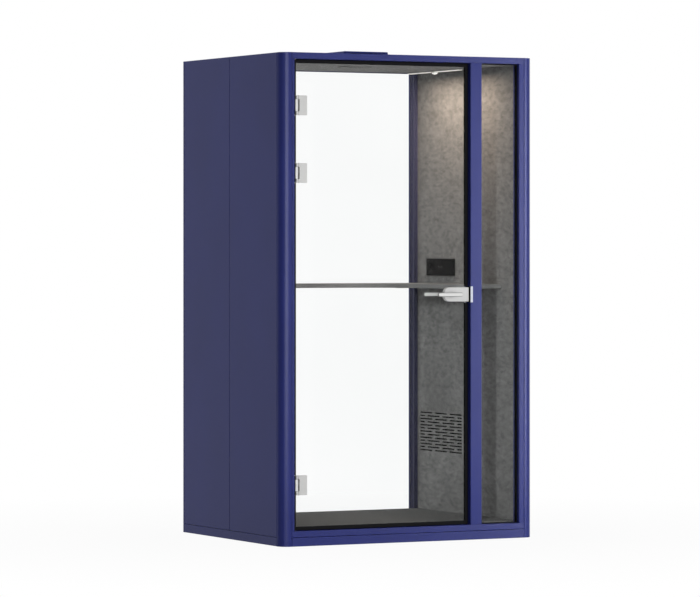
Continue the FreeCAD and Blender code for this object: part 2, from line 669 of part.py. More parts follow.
def hinge_outer(name):
    body = new_body("outer_clamp_" + name)
    plate = new_sketch(body, "XZ", half_glass)
    clamp_outline(plate)
    pad(body, plate, "clamp_thickness")
    ear_tall = f"({half_hinge} - {half_knuckle} - hinge_clearance)"
    ear_reach = "(knuckle_radius + hinge_clearance * 2)"
    ear_back = "(clamp_start - hinge_clearance / 2)"
    for level in (f"{half_knuckle} + hinge_clearance", f"0 - {half_hinge}"):
        ear = new_sketch(body, "XY", level)
        outline(ear, [("0 - knuckle_radius", "0 - knuckle_radius", "knuckle_radius * 0.95"),
                      (ear_reach, "0 - knuckle_radius"), (ear_reach, half_glass), (ear_back, half_glass),
                      (ear_back, "knuckle_radius"),
                      ("0 - knuckle_radius", "knuckle_radius", "knuckle_radius * 0.95")])
        pad(body, ear, ear_tall)
    bore = new_sketch(body, "XY")
    circle(bore, "0", "0", "pin_radius + pin_grip")
    pocket(body, bore)
    return body


def hinge_inner(name):
    body = new_body("inner_clamp_" + name)
    plate = new_sketch(body, "XZ", f"0 - {half_glass} - clamp_thickness")
    clamp_outline(plate)
    pad(body, plate, "clamp_thickness")
    return body


def hinge_pin(name):
    item = doc.addObject("Part::Cylinder", "pin_" + name)
    tie(item, "Radius", "pin_radius")
    tie(item, "Height", "pin_length")
    return item


brackets, clamps, pins = [], [], []
for level, height in hinge_levels.items():
    brackets.append(hinge_bracket(level))
    clamps += [hinge_outer(level), hinge_inner(level)]
    pins.append(hinge_pin(level))
    for item in (brackets[-1], clamps[-2], clamps[-1]):
        place(item, pivot_x, glass_mid, height)
    place(pins[-1], pivot_x, glass_mid, f"{height} - pin_length / 2")
keep(group("hinge_wall_brackets", brackets))
keep(group("hinge_clamps", clamps))
keep(group("hinge_pins", pins))


# Patch lock on the glass, measured from the spindle
def lock_case(label, length, offset, face_sign):
    body = new_body(label)
    case = new_sketch(body, "XZ")
    low_x = f"(lock_backset - {length})"
    outline(case, [(low_x, "0 - lock_tall / 2", "lock_round"),
                   ("lock_backset", "0 - lock_tall / 2", "lock_edge_round"),
                   ("lock_backset", "lock_tall / 2", "lock_edge_round"),
                   (low_x, "lock_tall / 2", "lock_round")])
    solid = pad(body, case, "lock_thickness")
    round_edges(body, solid, "lock_edge_round",
                lambda edge: on_plane(edge.YMin, edge.YMax, 0 - value("lock_thickness")))
    bore = new_sketch(body, "XZ")
    circle(bore, "0", "0", "spindle_bore")
    pocket(body, bore)
    place(body, lock_pivot, f"{glass_mid} + {offset}", "lock_height", 180 * face_sign, (1, 0, 0))
    keep(body)


lock_case("lock_case_outer", "lock_length", f"0 - {half_glass}", 0)
lock_case("lock_case_inner", "inner_case_length", half_glass, 1)


def lever(label, offset, face_sign):
    body = new_body(label)
    neck = new_sketch(body, "XZ", "neck_gap")
    circle(neck, "0", "0", "neck_radius")
    pad(body, neck, "lever_stand")
    grip = new_sketch(body, "XZ", "lever_stand")
    half = "(lever_tall / 2)"
    rectangle(grip, "0 - lever_length", f"0 - {half}", half, half, "lever_tall * 0.48")
    bar = pad(body, grip, "lever_thickness")
    outer = 0 - value("lever_stand + lever_thickness")
    inner = 0 - value("lever_stand")
    reach = value("neck_radius + lever_round")
    round_edges(body, bar, "lever_round", lambda edge: on_plane(edge.YMin, edge.YMax, outer)
                or (on_plane(edge.YMin, edge.YMax, inner) and edge.XMin < 0 - reach))
    socket = new_sketch(body, "XZ", "neck_gap")
    side = "(spindle_side / 2 + spindle_clearance)"
    rectangle(socket, f"0 - {side}", f"0 - {side}", side, side)
    pocket(body, socket, "spindle_grip + 1", True)
    place(body, lock_pivot, f"{glass_mid} + {offset}", "lock_height", 180 * face_sign, (1, 0, 0))
    keep(body)


lever("lever_outer", f"0 - {half_glass} - lock_thickness", 0)
lever("lever_inner", f"{half_glass} + lock_thickness", 1)
spindle_half = f"({half_glass} + lock_thickness + spindle_grip)"
keep(box("lock_spindle", f"{lock_pivot} - spindle_side / 2", f"{glass_mid} - {spindle_half}",
         "lock_height - spindle_side / 2", "spindle_side", f"{spindle_half} * 2", "spindle_side"))

latch = keep(new_body("latch_bolt"))
latch_plan = new_sketch(latch, "XY")
half_latch = "(latch_thickness / 2)"
polygon(latch_plan, [("0 - latch_length", f"0 - {half_latch}"), ("0", f"0 - {half_latch}"),
                     ("0", f"{half_latch} - latch_bevel"), ("0 - latch_bevel", half_latch),
                     ("0 - latch_length", half_latch)])
pad(latch, latch_plan, "latch_tall")
place(latch, f"{lock_edge} + latch_throw", glass_mid, "lock_height - latch_tall / 2")

strike = keep(new_body("strike_plate"))
strike_plan = new_sketch(strike, "XY")
thin = "strike_sheet"
outline(strike_plan, [(f"0 - {thin}", f"0 - {thin}", "edge_round"), ("strike_lip", f"0 - {thin}"),
                      ("strike_lip", "0"),
                      ("0", "0"), ("0", "strike_depth"), (f"0 - {thin}", "strike_depth")])
pad(strike, strike_plan, "strike_tall")
keeper = new_sketch(strike, "YZ")
keep_low = "(strike_tall / 2 - latch_tall / 2 - strike_clearance)"
rectangle(keeper, "glass_setback + glass_thickness / 2 - latch_thickness / 2 - strike_clearance", keep_low,
          "glass_setback + glass_thickness / 2 + latch_thickness / 2 + strike_clearance",
          f"{keep_low} + latch_tall + strike_clearance * 2")
pocket(strike, keeper, "strike_sheet * 2")
place(strike, opening_right, front, "lock_height - strike_tall / 2")


# Desk along the rear glass with a return along the right wall
desk = keep(new_body("desk_top"))
desk_plan = new_sketch(desk, "XY")
desk_left = f"({inside_left} + desk_gap)"
desk_right = f"({inside_right} - desk_gap)"
desk_back = f"({inside_back} - desk_gap)"
desk_inner = f"({desk_right} - desk_return_width)"
outline(desk_plan, [(desk_left, f"{desk_back} - desk_rear_depth"),
                    (desk_inner, f"{desk_back} - desk_rear_depth", "desk_inner_radius"),
                    (desk_inner, f"{inside_front} + desk_return_start", "desk_corner_radius"),
                    (desk_right, f"{inside_front} + desk_return_start"), (desk_right, desk_back),
                    (desk_left, desk_back)])
desk_slab = pad(desk, desk_plan, "desk_thickness")
round_edges(desk, desk_slab, "desk_edge_round",
            lambda edge: (on_plane(edge.ZMin, edge.ZMax, value("desk_thickness"))
                          or on_plane(edge.ZMin, edge.ZMax, 0)))
desk_under = "(desk_height - desk_thickness)"
place(desk, "0", "0", desk_under)


def desk_bracket(name, x, y, turn):
    body = new_body("desk_bracket_" + name)
    angle = new_sketch(body, "XZ")
    outline(angle, [("0", "0"), ("0", "0 - bracket_leg"), ("bracket_plate", "0 - bracket_leg"),
                    ("bracket_plate", "0 - bracket_plate"), ("bracket_arm", "0 - bracket_plate"),
                    ("bracket_arm", "0")])
    pad(body, angle, "bracket_width")
    place(body, x, y, desk_under, turn)
    return body


rear_run = f"({desk_back} - desk_rear_depth / 2)"
return_run = f"({inside_front} + desk_return_start + desk_return_width / 2)"
middle_run = f"(({rear_run} + {return_run}) / 2)"
keep(group("desk_brackets", [
    desk_bracket("left", inside_left, f"{rear_run} + bracket_width / 2", 0),
    desk_bracket("right_rear", inside_right, f"{rear_run} - bracket_width / 2", 180),
    desk_bracket("right_middle", inside_right, f"{middle_run} - bracket_width / 2", 180),
    desk_bracket("right_front", inside_right, f"{return_run} - bracket_width / 2", 180)]))


# Power panel on the right wall above the desk, with outlet modules and two rockers on a common pin
half_module = "(module_length / 2)"
half_high = "(module_height / 2)"
rocker_width = "((module_length - rocker_clearance * 3) / 2)"
rocker_axis = "(rocker_thickness / 2 - panel_face - rocker_proud)"
panel = keep(new_body("power_panel"))
face = new_sketch(panel, "YZ", "0 - panel_face")
rectangle(face, f"0 - {panel_long} / 2", f"0 - {panel_high} / 2", f"{panel_long} / 2", f"{panel_high} / 2",
          "panel_corner")
pad(panel, face, "panel_face")
back_box = new_sketch(panel, "YZ")
rectangle(back_box, f"0 - {box_half_long}", f"0 - {box_half_high}", box_half_long, box_half_high)
pad(panel, back_box, "box_depth")
bays = new_sketch(panel, "YZ", "0 - panel_face")
for middle in (f"(0 - {module_pitch})", "0", module_pitch):
    rectangle(bays, f"{middle} - {half_module}", f"0 - {half_high}", f"{middle} + {half_module}", half_high)
pocket(panel, bays, "panel_face + box_depth - box_floor", True)
rocker_pin = new_sketch(panel, "XZ", f"{module_pitch} - {half_module} - rocker_pin_grip")
circle(rocker_pin, rocker_axis, "0", "rocker_pin_radius")
pad(panel, rocker_pin, "module_length + rocker_pin_grip * 2")
place(panel, inside_right, panel_y, panel_z)
module_x = f"({inside_right} - panel_face + module_sink)"
module_z = f"({panel_z} - {half_high})"
module_deep = "panel_face + box_depth - box_floor - module_sink"
keep(group("outlet_modules", [
    box("outlet_rear", module_x, f"{panel_y} + {module_pitch} - {half_module}", module_z,
        module_deep, "module_length", "module_height"),
    box("outlet_middle", module_x, f"{panel_y} - {half_module}", module_z,
        module_deep, "module_length", "module_height")]))


def rocker(label, side):
    body = new_body(label)
    section = new_sketch(body, "XZ")
    high = f"({half_high} - rocker_clearance * 1.6)"
    rectangle(section, "0 - rocker_thickness / 2", f"0 - {high}", "rocker_thickness / 2", high, "edge_round")
    pad(body, section, rocker_width, True)
    bore = new_sketch(body, "XZ")
    circle(bore, "0", "0", "rocker_pin_radius + rocker_pin_clearance")
    pocket(body, bore)
    place(body, f"{inside_right} + {rocker_axis}", f"{panel_y} - {module_pitch} + {side}", panel_z)
    keep(body)


rocker("light_rocker", "rocker_clearance / 2")
rocker("fan_rocker", f"0 - rocker_clearance / 2 - {rocker_width}")


# Ceiling lamp with a motion sensor in its middle
lamp_x = f"({inside_right} - lamp_inset)"
lamp_start = f"({inside_back} - lamp_rear_margin - lamp_length)"
lamp_mid = f"({lamp_start} + lamp_length / 2)"
lamp_low = f"({ceiling_under} - lamp_height)"
keep(box("lamp_housing", f"{lamp_x} - lamp_width / 2", lamp_start, lamp_low,
         "lamp_width", "lamp_length", "lamp_height"))


def lamp_cover(name, y):
    body = new_body("cover_" + name)
    section = new_sketch(body, "XZ")
    outline(section, [("0 - cover_width / 2", "0 - cover_height", "cover_round"),
                      ("cover_width / 2", "0 - cover_height", "cover_round"), ("cover_width / 2", "0"),
                      ("0 - cover_width / 2", "0")])
    pad(body, section, "lamp_length / 2 - sensor_radius", True)
    place(body, lamp_x, y, lamp_low)
    return body


keep(group("lamp_diffuser", [lamp_cover("front", lamp_start),
                             lamp_cover("rear", f"{lamp_mid} + sensor_radius")]))
sensor = keep(new_body("motion_sensor"))
sensor_half = new_sketch(sensor, "XZ")
polygon(sensor_half, [("0", "0"), ("0", "0 - sensor_rim - sensor_dome"),
                      ("sensor_radius * 0.38", "0 - sensor_rim - sensor_dome * 0.92"),
                      ("sensor_radius * 0.7", "0 - sensor_rim - sensor_dome * 0.68"),
                      ("sensor_radius * 0.92", "0 - sensor_rim - sensor_dome * 0.3"),
                      ("sensor_radius", "0 - sensor_rim"), ("sensor_radius", "0")])
revolve(sensor, sensor_half)
place(sensor, lamp_x, lamp_mid, lamp_low)


# Roof fan under its cowl, ceiling vent below it
housing = keep(new_body("fan_housing"))
frame = new_sketch(housing, "XY")
half_frame = "(fan_frame / 2)"
rectangle(frame, f"0 - {half_frame}", f"0 - {half_frame}", half_frame, half_frame, "fan_frame_round")
circle(frame, "0", "0", "fan_bore")
pad(housing, frame, "fan_frame_height")
strut = new_sketch(housing, "XY")
rectangle(strut, "0 - fan_bore - 4", "0 - fan_strut / 2", "fan_bore + 4", "fan_strut / 2")
pad(housing, strut, "fan_floor")
boss = new_sketch(housing, "XY")
circle(boss, "0", "0", "fan_boss")
pad(housing, boss, "fan_floor")
axle = new_sketch(housing, "XY")
circle(axle, "0", "0", "axle_radius")
pad(housing, axle, "fan_floor + axle_length")
place(housing, "0", "0", roof_top)

rotor = keep(new_body("fan_rotor"))
hub = new_sketch(rotor, "XY")
circle(hub, "0", "0", "hub_radius")
circle(hub, "0", "0", "axle_radius + axle_clearance")
pad(rotor, hub, "rotor_height")
blade = new_sketch(rotor, "YZ", "hub_radius - 3")
rise = "(rotor_height - blade_thickness)"
polygon(blade, [("0 - blade_chord / 2", "0"), ("blade_thickness - blade_chord / 2", "0"),
                ("blade_chord / 2", rise), ("blade_chord / 2 - blade_thickness", rise)])
first_blade = pad(rotor, blade, "blade_radius - hub_radius + 3")
spin_axis = [item for item in rotor.Origin.OriginFeatures if item.Role == "Z_Axis"][0]
pattern(rotor, "PolarPattern", first_blade, (spin_axis, [""]), None, "7")
place(rotor, "0", "0", f"{roof_top} + fan_floor + rotor_gap")

cowl = keep(new_body("fan_cowl"))
lid = new_sketch(cowl, "XY")
half_cowl = "(cowl_size / 2)"
rectangle(lid, f"0 - {half_cowl}", f"0 - {half_cowl}", half_cowl, half_cowl, "cowl_round")
lid_pad = pad(cowl, lid, "cowl_height")
round_edges(cowl, lid_pad, "cowl_edge", lambda edge: on_plane(edge.ZMin, edge.ZMax, value("cowl_height")))
hollow = new_sketch(cowl, "XY")
inner_cowl = "(cowl_size / 2 - cowl_wall)"
rectangle(hollow, f"0 - {inner_cowl}", f"0 - {inner_cowl}", inner_cowl, inner_cowl, "cowl_round - cowl_wall")
pocket(cowl, hollow, "cowl_height - cowl_wall", True)
for plane in ("XZ", "YZ"):
    louvre = new_sketch(cowl, plane)
    for level in ("cowl_slot * 1.6", "cowl_slot * 3.2", "cowl_slot * 4.8"):
        rectangle(louvre, "0 - cowl_size * 0.36", level, "cowl_size * 0.36", f"{level} + cowl_slot * 0.8")
    pocket(cowl, louvre)
place(cowl, "0", "0", roof_top)

vent = keep(new_body("ceiling_vent"))
disc = new_sketch(vent, "XY")
circle(disc, "0", "0", "vent_radius")
pad(vent, disc, "vent_thickness")
ray = new_sketch(vent, "XY")
rectangle(ray, "vent_hub", "0 - vent_slot / 2", "vent_radius - vent_rim", "vent_slot / 2", "vent_slot * 0.45")
first_ray = pocket(vent, ray)
vent_axis = [item for item in vent.Origin.OriginFeatures if item.Role == "Z_Axis"][0]
pattern(vent, "PolarPattern", first_ray, (vent_axis, [""]), None, "12")
place(vent, "0", "0", f"{ceiling_under} - vent_thickness")

# Cable gland in the roof
gland = keep(new_body("cable_gland"))
gland_half = new_sketch(gland, "XZ")
gland_top = "(gland_flange_height + gland_rise)"
outline(gland_half, [("gland_bore", "0 - roof_thickness"), ("gland_stem", "0 - roof_thickness"),
                     ("gland_stem", "0"), ("gland_flange", "0"), ("gland_flange", "gland_flange_height"),
                     ("gland_body", "gland_flange_height"), ("gland_body", gland_top),
                     ("gland_bore", gland_top)])
revolve(gland, gland_half)
place(gland, gland_x, gland_y, roof_top)

# Checks and export
doc.recompute()
for item in doc.Objects:
    if "Invalid" in item.State or "Error" in item.State:
        raise RuntimeError("feature failed: " + item.Name)
    if item.TypeId == "PartDesign::Pocket" and item.Shape.Volume > item.BaseFeature.Shape.Volume - 1:
        raise RuntimeError("pocket cuts nothing: " + item.Name)
os.makedirs("parts", exist_ok=True)
for item in nodes:
    if item.Shape.isNull() or not item.Shape.isValid():
        raise RuntimeError("bad shape: " + item.Label)
    item.Shape.exportStep("parts/" + item.Label + ".step")
print(len(nodes), "pieces written")
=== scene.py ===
import json
import math
import bpy
import bmesh
from mathutils import Matrix, Vector


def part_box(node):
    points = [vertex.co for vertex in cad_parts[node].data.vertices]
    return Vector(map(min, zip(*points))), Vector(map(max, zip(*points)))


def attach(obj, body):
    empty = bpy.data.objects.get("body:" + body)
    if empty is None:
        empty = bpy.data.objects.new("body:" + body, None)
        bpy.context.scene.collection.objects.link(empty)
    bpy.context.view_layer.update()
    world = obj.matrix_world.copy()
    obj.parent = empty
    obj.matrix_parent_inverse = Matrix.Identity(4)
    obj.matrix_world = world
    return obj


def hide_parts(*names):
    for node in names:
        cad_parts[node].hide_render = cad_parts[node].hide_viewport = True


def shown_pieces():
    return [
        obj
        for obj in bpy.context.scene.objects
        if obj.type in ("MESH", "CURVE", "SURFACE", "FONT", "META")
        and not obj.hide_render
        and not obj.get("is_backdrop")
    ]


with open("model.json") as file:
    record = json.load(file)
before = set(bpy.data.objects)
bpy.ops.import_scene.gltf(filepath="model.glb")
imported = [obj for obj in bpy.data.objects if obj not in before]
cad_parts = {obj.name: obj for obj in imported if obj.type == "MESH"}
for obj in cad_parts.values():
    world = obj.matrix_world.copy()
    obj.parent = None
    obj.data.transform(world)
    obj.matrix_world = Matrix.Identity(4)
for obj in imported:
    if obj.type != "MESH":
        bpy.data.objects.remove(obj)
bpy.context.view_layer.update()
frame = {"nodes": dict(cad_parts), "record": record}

nodes = frame["nodes"]
record = frame["record"]
scene = bpy.context.scene
slotOf = {part["node"]: part["material_slot"] for part in record["subparts"]}
bodyOf = {node: body for body, members in record["behaviour"]["bodies"].items() for node in members}
print("frame: ", len(nodes), "nodes loaded")

# camera at the photo's place, level, long lens
view = {"place": (-8.709, -16.707, 1.394), "yaw": -27.458, "lens": 199.9, "shiftDown": 0.0736,
        "sensor": 36.0, "reach": 200}
eye = bpy.data.cameras.new("eye")
eye.lens = view["lens"]
eye.sensor_width = view["sensor"]
eye.shift_y = -view["shiftDown"]
eye.clip_end = view["reach"]
eyeObject = bpy.data.objects.new("eye", eye)
eyeObject.location = view["place"]
eyeObject.rotation_euler = (math.radians(90), 0, math.radians(view["yaw"]))
scene.collection.objects.link(eyeObject)
scene.camera = eyeObject
scene.view_settings.view_transform = "Standard"

# white room: lamps give the light, the world only fills
studio = {
    "fill": (0.95, 0.96, 1.0), "fillStrength": 0.25, "floorHalf": 60, "floorGrey": (0.5, 0.5, 0.5),
    "floorRough": 0.9, "floorShade": 0.05, "shadeReach": (1.0, 3.2),
    "lamps": [  # name, place, aim, width, height, watts, what it lights
        ("frontBox", (1.2, -5.0, 1.2), (0, -0.4, 1.0), 3.0, 3.0, 180, "all"),
        ("rightBox", (2.75, -2.9, 1.1), (0.6, -0.3, 1.0), 1.0, 2.6, 235, "paintGloss"),
        ("railBox", (2.75, -2.9, 1.1), (0.6, -0.3, 1.0), 1.0, 2.6, 250, "railGloss"),
        ("cornerBox", (-2.6, -4.6, 1.3), (-0.6, -0.5, 1.2), 2.6, 3.2, 370, "paintGloss"),
        ("topBox", (0.4, 0.6, 5.6), (0, 0, 0), 3.0, 3.0, 95, "all"),
        ("rearBox", (-1.8, 4.2, 4.8), (0, 0, 1.4), 3.0, 3.0, 50, "all"),
        ("leftBox", (-4.6, 2.4, 2.4), (0, 0, 1.2), 2.4, 2.4, 24, "all"),
        ("cabinBox", (-3.9, -5.47, 2.6), (0.6, -0.2, 0.88), 0.4, 0.5, 8.2, "cabin"),
    ],
    "keptFor": ("paintGloss", "railGloss", "cabin"),  # sets of pieces that some lamps are kept for
    "warm": (1.0, 0.80, 0.63), "cabinSpread": 32,
    "glow": {"place": (0.435, -0.005, 2.240), "size": (0.05, 0.62), "watts": 6.1},
}


def spread(tree, value, low, high, fromLow, fromHigh):  # stretches one range onto another
    node = tree.nodes.new("ShaderNodeMapRange")
    for socket, number in zip(("From Min", "From Max", "To Min", "To Max"), (fromLow, fromHigh, low, high)):
        node.inputs[socket].default_value = number
    tree.links.new(value, node.inputs["Value"])
    return node.outputs["Result"]


def maths(tree, kind, first, second):  # one Math node on two sockets
    node = tree.nodes.new("ShaderNodeMath")
    node.operation = kind
    tree.links.new(first, node.inputs[0])
    tree.links.new(second, node.inputs[1])
    return node.outputs[0]


def mixed(tree, share, first, second, output):  # one shader or the other, into the output node
    node = tree.nodes.new("ShaderNodeMixShader")
    tree.links.new(share, node.inputs[0])
    tree.links.new(first.outputs[0], node.inputs[1])
    tree.links.new(second.outputs[0], node.inputs[2])
    tree.links.new(node.outputs[0], tree.nodes[output].inputs[0])


def seenRays(tree):  # 1 for rays that show the background: camera, mirror and glass rays
    path = tree.nodes.new("ShaderNodeLightPath")
    first = maths(tree, "MAXIMUM", path.outputs["Is Camera Ray"], path.outputs["Is Glossy Ray"])
    return maths(tree, "MAXIMUM", first, path.outputs["Is Transmission Ray"])


def makeStudio():
    world = bpy.data.worlds.new("whiteRoom")
    world.use_nodes = True
    scene.world = world
    tree = world.node_tree
    plain = tree.nodes["Background"]
    plain.inputs["Color"].default_value = (*studio["fill"], 1)
    plain.inputs["Strength"].default_value = studio["fillStrength"]
    white = tree.nodes.new("ShaderNodeBackground")
    white.inputs["Color"].default_value = (1, 1, 1, 1)
    mixed(tree, seenRays(tree), plain, white, "World Output")

    floorMesh = bpy.data.meshes.new("studioFloor")
    half = studio["floorHalf"]
    corners = [(half * x, half * y, 0) for x, y in ((-1, -1), (1, -1), (1, 1), (-1, 1))]
    floorMesh.from_pydata(corners, [], [(0, 1, 2, 3)])
    floor = bpy.data.objects.new("studioFloor", floorMesh)
    scene.collection.objects.link(floor)
    floor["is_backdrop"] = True
    paper = bpy.data.materials.new("studioPaper")
    paper.use_nodes = True
    tree = paper.node_tree
    matte = tree.nodes["Principled BSDF"]
    matte.inputs["Base Color"].default_value = (*studio["floorGrey"], 1)
    matte.inputs["Roughness"].default_value = studio["floorRough"]
    matte.inputs["Specular IOR Level"].default_value = 0.0
    bright = tree.nodes.new("ShaderNodeEmission")
    bright.inputs["Strength"].default_value = 1.0
    away = tree.nodes.new("ShaderNodeVectorMath")  # the shadow fades out away from the pod
    away.operation = "LENGTH"
    tree.links.new(tree.nodes.new("ShaderNodeTexCoord").outputs["Object"], away.inputs[0])
    near, far = studio["shadeReach"]
    fade = spread(tree, away.outputs["Value"], 1 - studio["floorShade"], 1.0, near, far)
    mixed(tree, maths(tree, "MULTIPLY", seenRays(tree), fade), matte, bright, "Material Output")
    floorMesh.materials.append(paper)

    lit = {name: bpy.data.collections.new(name) for name in studio["keptFor"]}
    for name, place, aim, width, height, watts, only in studio["lamps"]:
        lamp = bpy.data.lights.new(name, "AREA")
        lamp.shape = "RECTANGLE"
        lamp.size = width
        lamp.size_y = height
        lamp.energy = watts
        lampObject = bpy.data.objects.new(name, lamp)
        lampObject.location = place
        lampObject.rotation_euler = (Vector(aim) - Vector(place)).to_track_quat("-Z", "Y").to_euler()
        lampObject.visible_camera = False
        lampObject.visible_transmission = False
        lampObject.visible_glossy = only.endswith("Gloss")
        lampObject.visible_diffuse = not only.endswith("Gloss")
        if only == "cabin":
            lamp.spread = math.radians(studio["cabinSpread"])
        if only in lit:
            lampObject.light_linking.receiver_collection = lit[only]
        scene.collection.objects.link(lampObject)
    glow = bpy.data.lights.new("lampGlow", "AREA")  # the pod's own warm lamp, facing down
    glow.shape = "RECTANGLE"
    glow.size, glow.size_y = studio["glow"]["size"]
    glow.energy = studio["glow"]["watts"]
    glow.color = studio["warm"]
    glowObject = bpy.data.objects.new("lampGlow", glow)
    glowObject.location = studio["glow"]["place"]
    glowObject.visible_camera = False
    glowObject.visible_glossy = False
    glowObject.visible_transmission = False
    scene.collection.objects.link(glowObject)
    return lit


lit = makeStudio()
print("studio: ", len(studio["lamps"]), "soft lamps, white floor and background")


# finishes: every one reads object coordinates in metres
def startFinish(name, colour, roughness, metal=0.0, specular=0.5):
    finish = bpy.data.materials.new(name)
    finish.use_nodes = True
    tree = finish.node_tree
    shader = tree.nodes["Principled BSDF"]
    shader.inputs["Base Color"].default_value = (*colour, 1)
    shader.inputs["Roughness"].default_value = roughness
    shader.inputs["Metallic"].default_value = metal
    shader.inputs["Specular IOR Level"].default_value = specular
    coords = tree.nodes.new("ShaderNodeTexCoord").outputs["Object"]
    return finish, tree, shader, coords


def stretched(tree, coords, scale, turn=(0, 0, 0)):
    mapping = tree.nodes.new("ShaderNodeMapping")
    mapping.inputs["Scale"].default_value = scale
    mapping.inputs["Rotation"].default_value = turn
    tree.links.new(coords, mapping.inputs["Vector"])
    return mapping.outputs["Vector"]


def noise(tree, coords, scale, detail=3.0, rough=0.55, twist=0.0):
    node = tree.nodes.new("ShaderNodeTexNoise")
    node.inputs["Scale"].default_value = scale
    node.inputs["Detail"].default_value = detail
    node.inputs["Roughness"].default_value = rough
    node.inputs["Distortion"].default_value = twist
    tree.links.new(coords, node.inputs["Vector"])
    return node.outputs["Fac"]


def cells(tree, coords, scale):
    node = tree.nodes.new("ShaderNodeTexVoronoi")
    node.inputs["Scale"].default_value = scale
    tree.links.new(coords, node.inputs["Vector"])
    return node.outputs["Distance"]


def added(tree, first, second, share):  # first + second * share
    node = tree.nodes.new("ShaderNodeMath")
    node.operation = "MULTIPLY_ADD"
    node.inputs[1].default_value = share
    tree.links.new(second, node.inputs[0])
    tree.links.new(first, node.inputs[2])
    return node.outputs[0]


def toned(tree, shader, value, span, dark, light):  # base colour, from dark to light over a span of the value
    node = tree.nodes.new("ShaderNodeValToRGB")
    for element, place, colour in zip(node.color_ramp.elements, span, (dark, light)):
        element.position = place
        element.color = (*colour, 1)
    tree.links.new(value, node.inputs["Fac"])
    tree.links.new(node.outputs["Color"], shader.inputs["Base Color"])


def rubbed(tree, shader, value, smooth, dull, span=(0.3, 0.7)):  # roughness, over a span of the value
    tree.links.new(spread(tree, value, smooth, dull, *span), shader.inputs["Roughness"])


def raised(tree, shader, height, depth, strength):  # fine relief
    node = tree.nodes.new("ShaderNodeBump")
    node.inputs["Strength"].default_value = strength
    node.inputs["Distance"].default_value = depth
    tree.links.new(height, node.inputs["Height"])
    tree.links.new(node.outputs["Normal"], shader.inputs["Normal"])


def shade(colour, factor):
    return tuple(min(1.0, part * factor) for part in colour)


paints = {  # linear colours
    "indigo": (0.023, 0.032, 0.183), "roofIndigo": (0.024, 0.030, 0.13),
    "feltDark": (0.090, 0.090, 0.088), "feltLight": (0.184, 0.183, 0.180),
    "carpetDark": (0.065, 0.065, 0.063), "carpetLight": (0.188, 0.187, 0.182),
    "desk": (0.143, 0.143, 0.141), "panel": (0.012, 0.012, 0.012), "grey": (0.175, 0.175, 0.172),
}


def makePowderCoat(name, colour):
    finish, tree, shader, coords = startFinish(name, colour, roughness=0.32, specular=0.09)
    cloud = noise(tree, coords, scale=2.2, detail=2)
    peel = noise(tree, coords, scale=900, detail=1.5)
    speck = noise(tree, coords, scale=2600, detail=0)
    paint = added(tree, cloud, speck, share=0.35)
    toned(tree, shader, paint, (0.45, 0.9), shade(colour, 0.93), shade(colour, 1.08))
    rubbed(tree, shader, peel, 0.27, 0.36)
    raised(tree, shader, peel, depth=0.00012, strength=0.5)
    return finish


def makeFelt(name, dark, light, depth=0.0006, sheen=0.15):
    finish, tree, shader, coords = startFinish(name, light, roughness=0.95, specular=sheen)
    shader.inputs["Sheen Weight"].default_value = sheen
    shader.inputs["Sheen Roughness"].default_value = 0.6
    lay = stretched(tree, coords, (1, 0.45, 1))  # the fleece is drawn out along the wall
    cloud = noise(tree, lay, scale=16, detail=3, rough=0.6)
    tuft = noise(tree, lay, scale=52, detail=5, rough=0.75, twist=0.3)
    across = stretched(tree, coords, (1, 0.25, 1), turn=(0.5, 0, 0.4))
    strand = noise(tree, across, scale=900, detail=2, rough=0.7)
    fleece = added(tree, added(tree, tuft, cloud, share=0.35), strand, share=0.25)
    toned(tree, shader, fleece, (0.66, 0.94), dark, light)
    raised(tree, shader, added(tree, strand, tuft, share=0.8), depth, strength=0.7)
    return finish


def makeCarpet(name, dark, light):
    finish, tree, shader, coords = startFinish(name, light, roughness=0.95, specular=0.1)
    loops = cells(tree, stretched(tree, coords, (1, 1, 0.3)), scale=230)
    yarn = noise(tree, coords, scale=60, detail=4, rough=0.6)
    twist = noise(tree, coords, scale=1100, detail=2)
    pile = added(tree, added(tree, yarn, loops, share=-0.35), twist, share=0.3)
    toned(tree, shader, pile, (0.3, 0.75), dark, light)
    raised(tree, shader, added(tree, twist, loops, share=-1.6), depth=0.0016, strength=0.9)
    return finish


def makeMetal(name, colour, roughness, grain=(1, 60, 60), metal=1.0):
    finish, tree, shader, coords = startFinish(name, colour, roughness, metal)
    brushed = noise(tree, stretched(tree, coords, grain), scale=34, detail=3, rough=0.6)
    stain = noise(tree, coords, scale=24, detail=2)
    toned(tree, shader, brushed, (0.3, 0.7), shade(colour, 0.93), shade(colour, 1.05))
    rubbed(tree, shader, added(tree, brushed, stain, share=0.5), roughness - 0.06, roughness + 0.08,
           span=(0.5, 1.0))
    raised(tree, shader, brushed, depth=0.00005, strength=0.5)
    return finish


def makePlastic(name, colour, roughness, grainScale=1500, specular=0.25):
    finish, tree, shader, coords = startFinish(name, colour, roughness, specular=specular)
    grain = cells(tree, coords, grainScale)
    cloud = noise(tree, coords, scale=18, detail=3)
    blend = added(tree, cloud, grain, share=0.25)
    toned(tree, shader, blend, (0.4, 0.85), shade(colour, 0.88), shade(colour, 1.1))
    rubbed(tree, shader, cloud, roughness - 0.05, roughness + 0.06)
    raised(tree, shader, grain, depth=0.00008, strength=0.6)
    return finish


def makeBoard(name, colour, roughness):
    finish, tree, shader, coords = startFinish(name, colour, roughness, specular=0.35)
    fleck = noise(tree, coords, scale=1300, detail=2)
    cloud = noise(tree, coords, scale=9, detail=3)
    blend = added(tree, cloud, fleck, share=0.6)
    toned(tree, shader, blend, (0.5, 1.0), shade(colour, 0.9), shade(colour, 1.12))
    rubbed(tree, shader, fleck, roughness - 0.06, roughness + 0.06)
    raised(tree, shader, fleck, depth=0.00008, strength=0.4)
    return finish


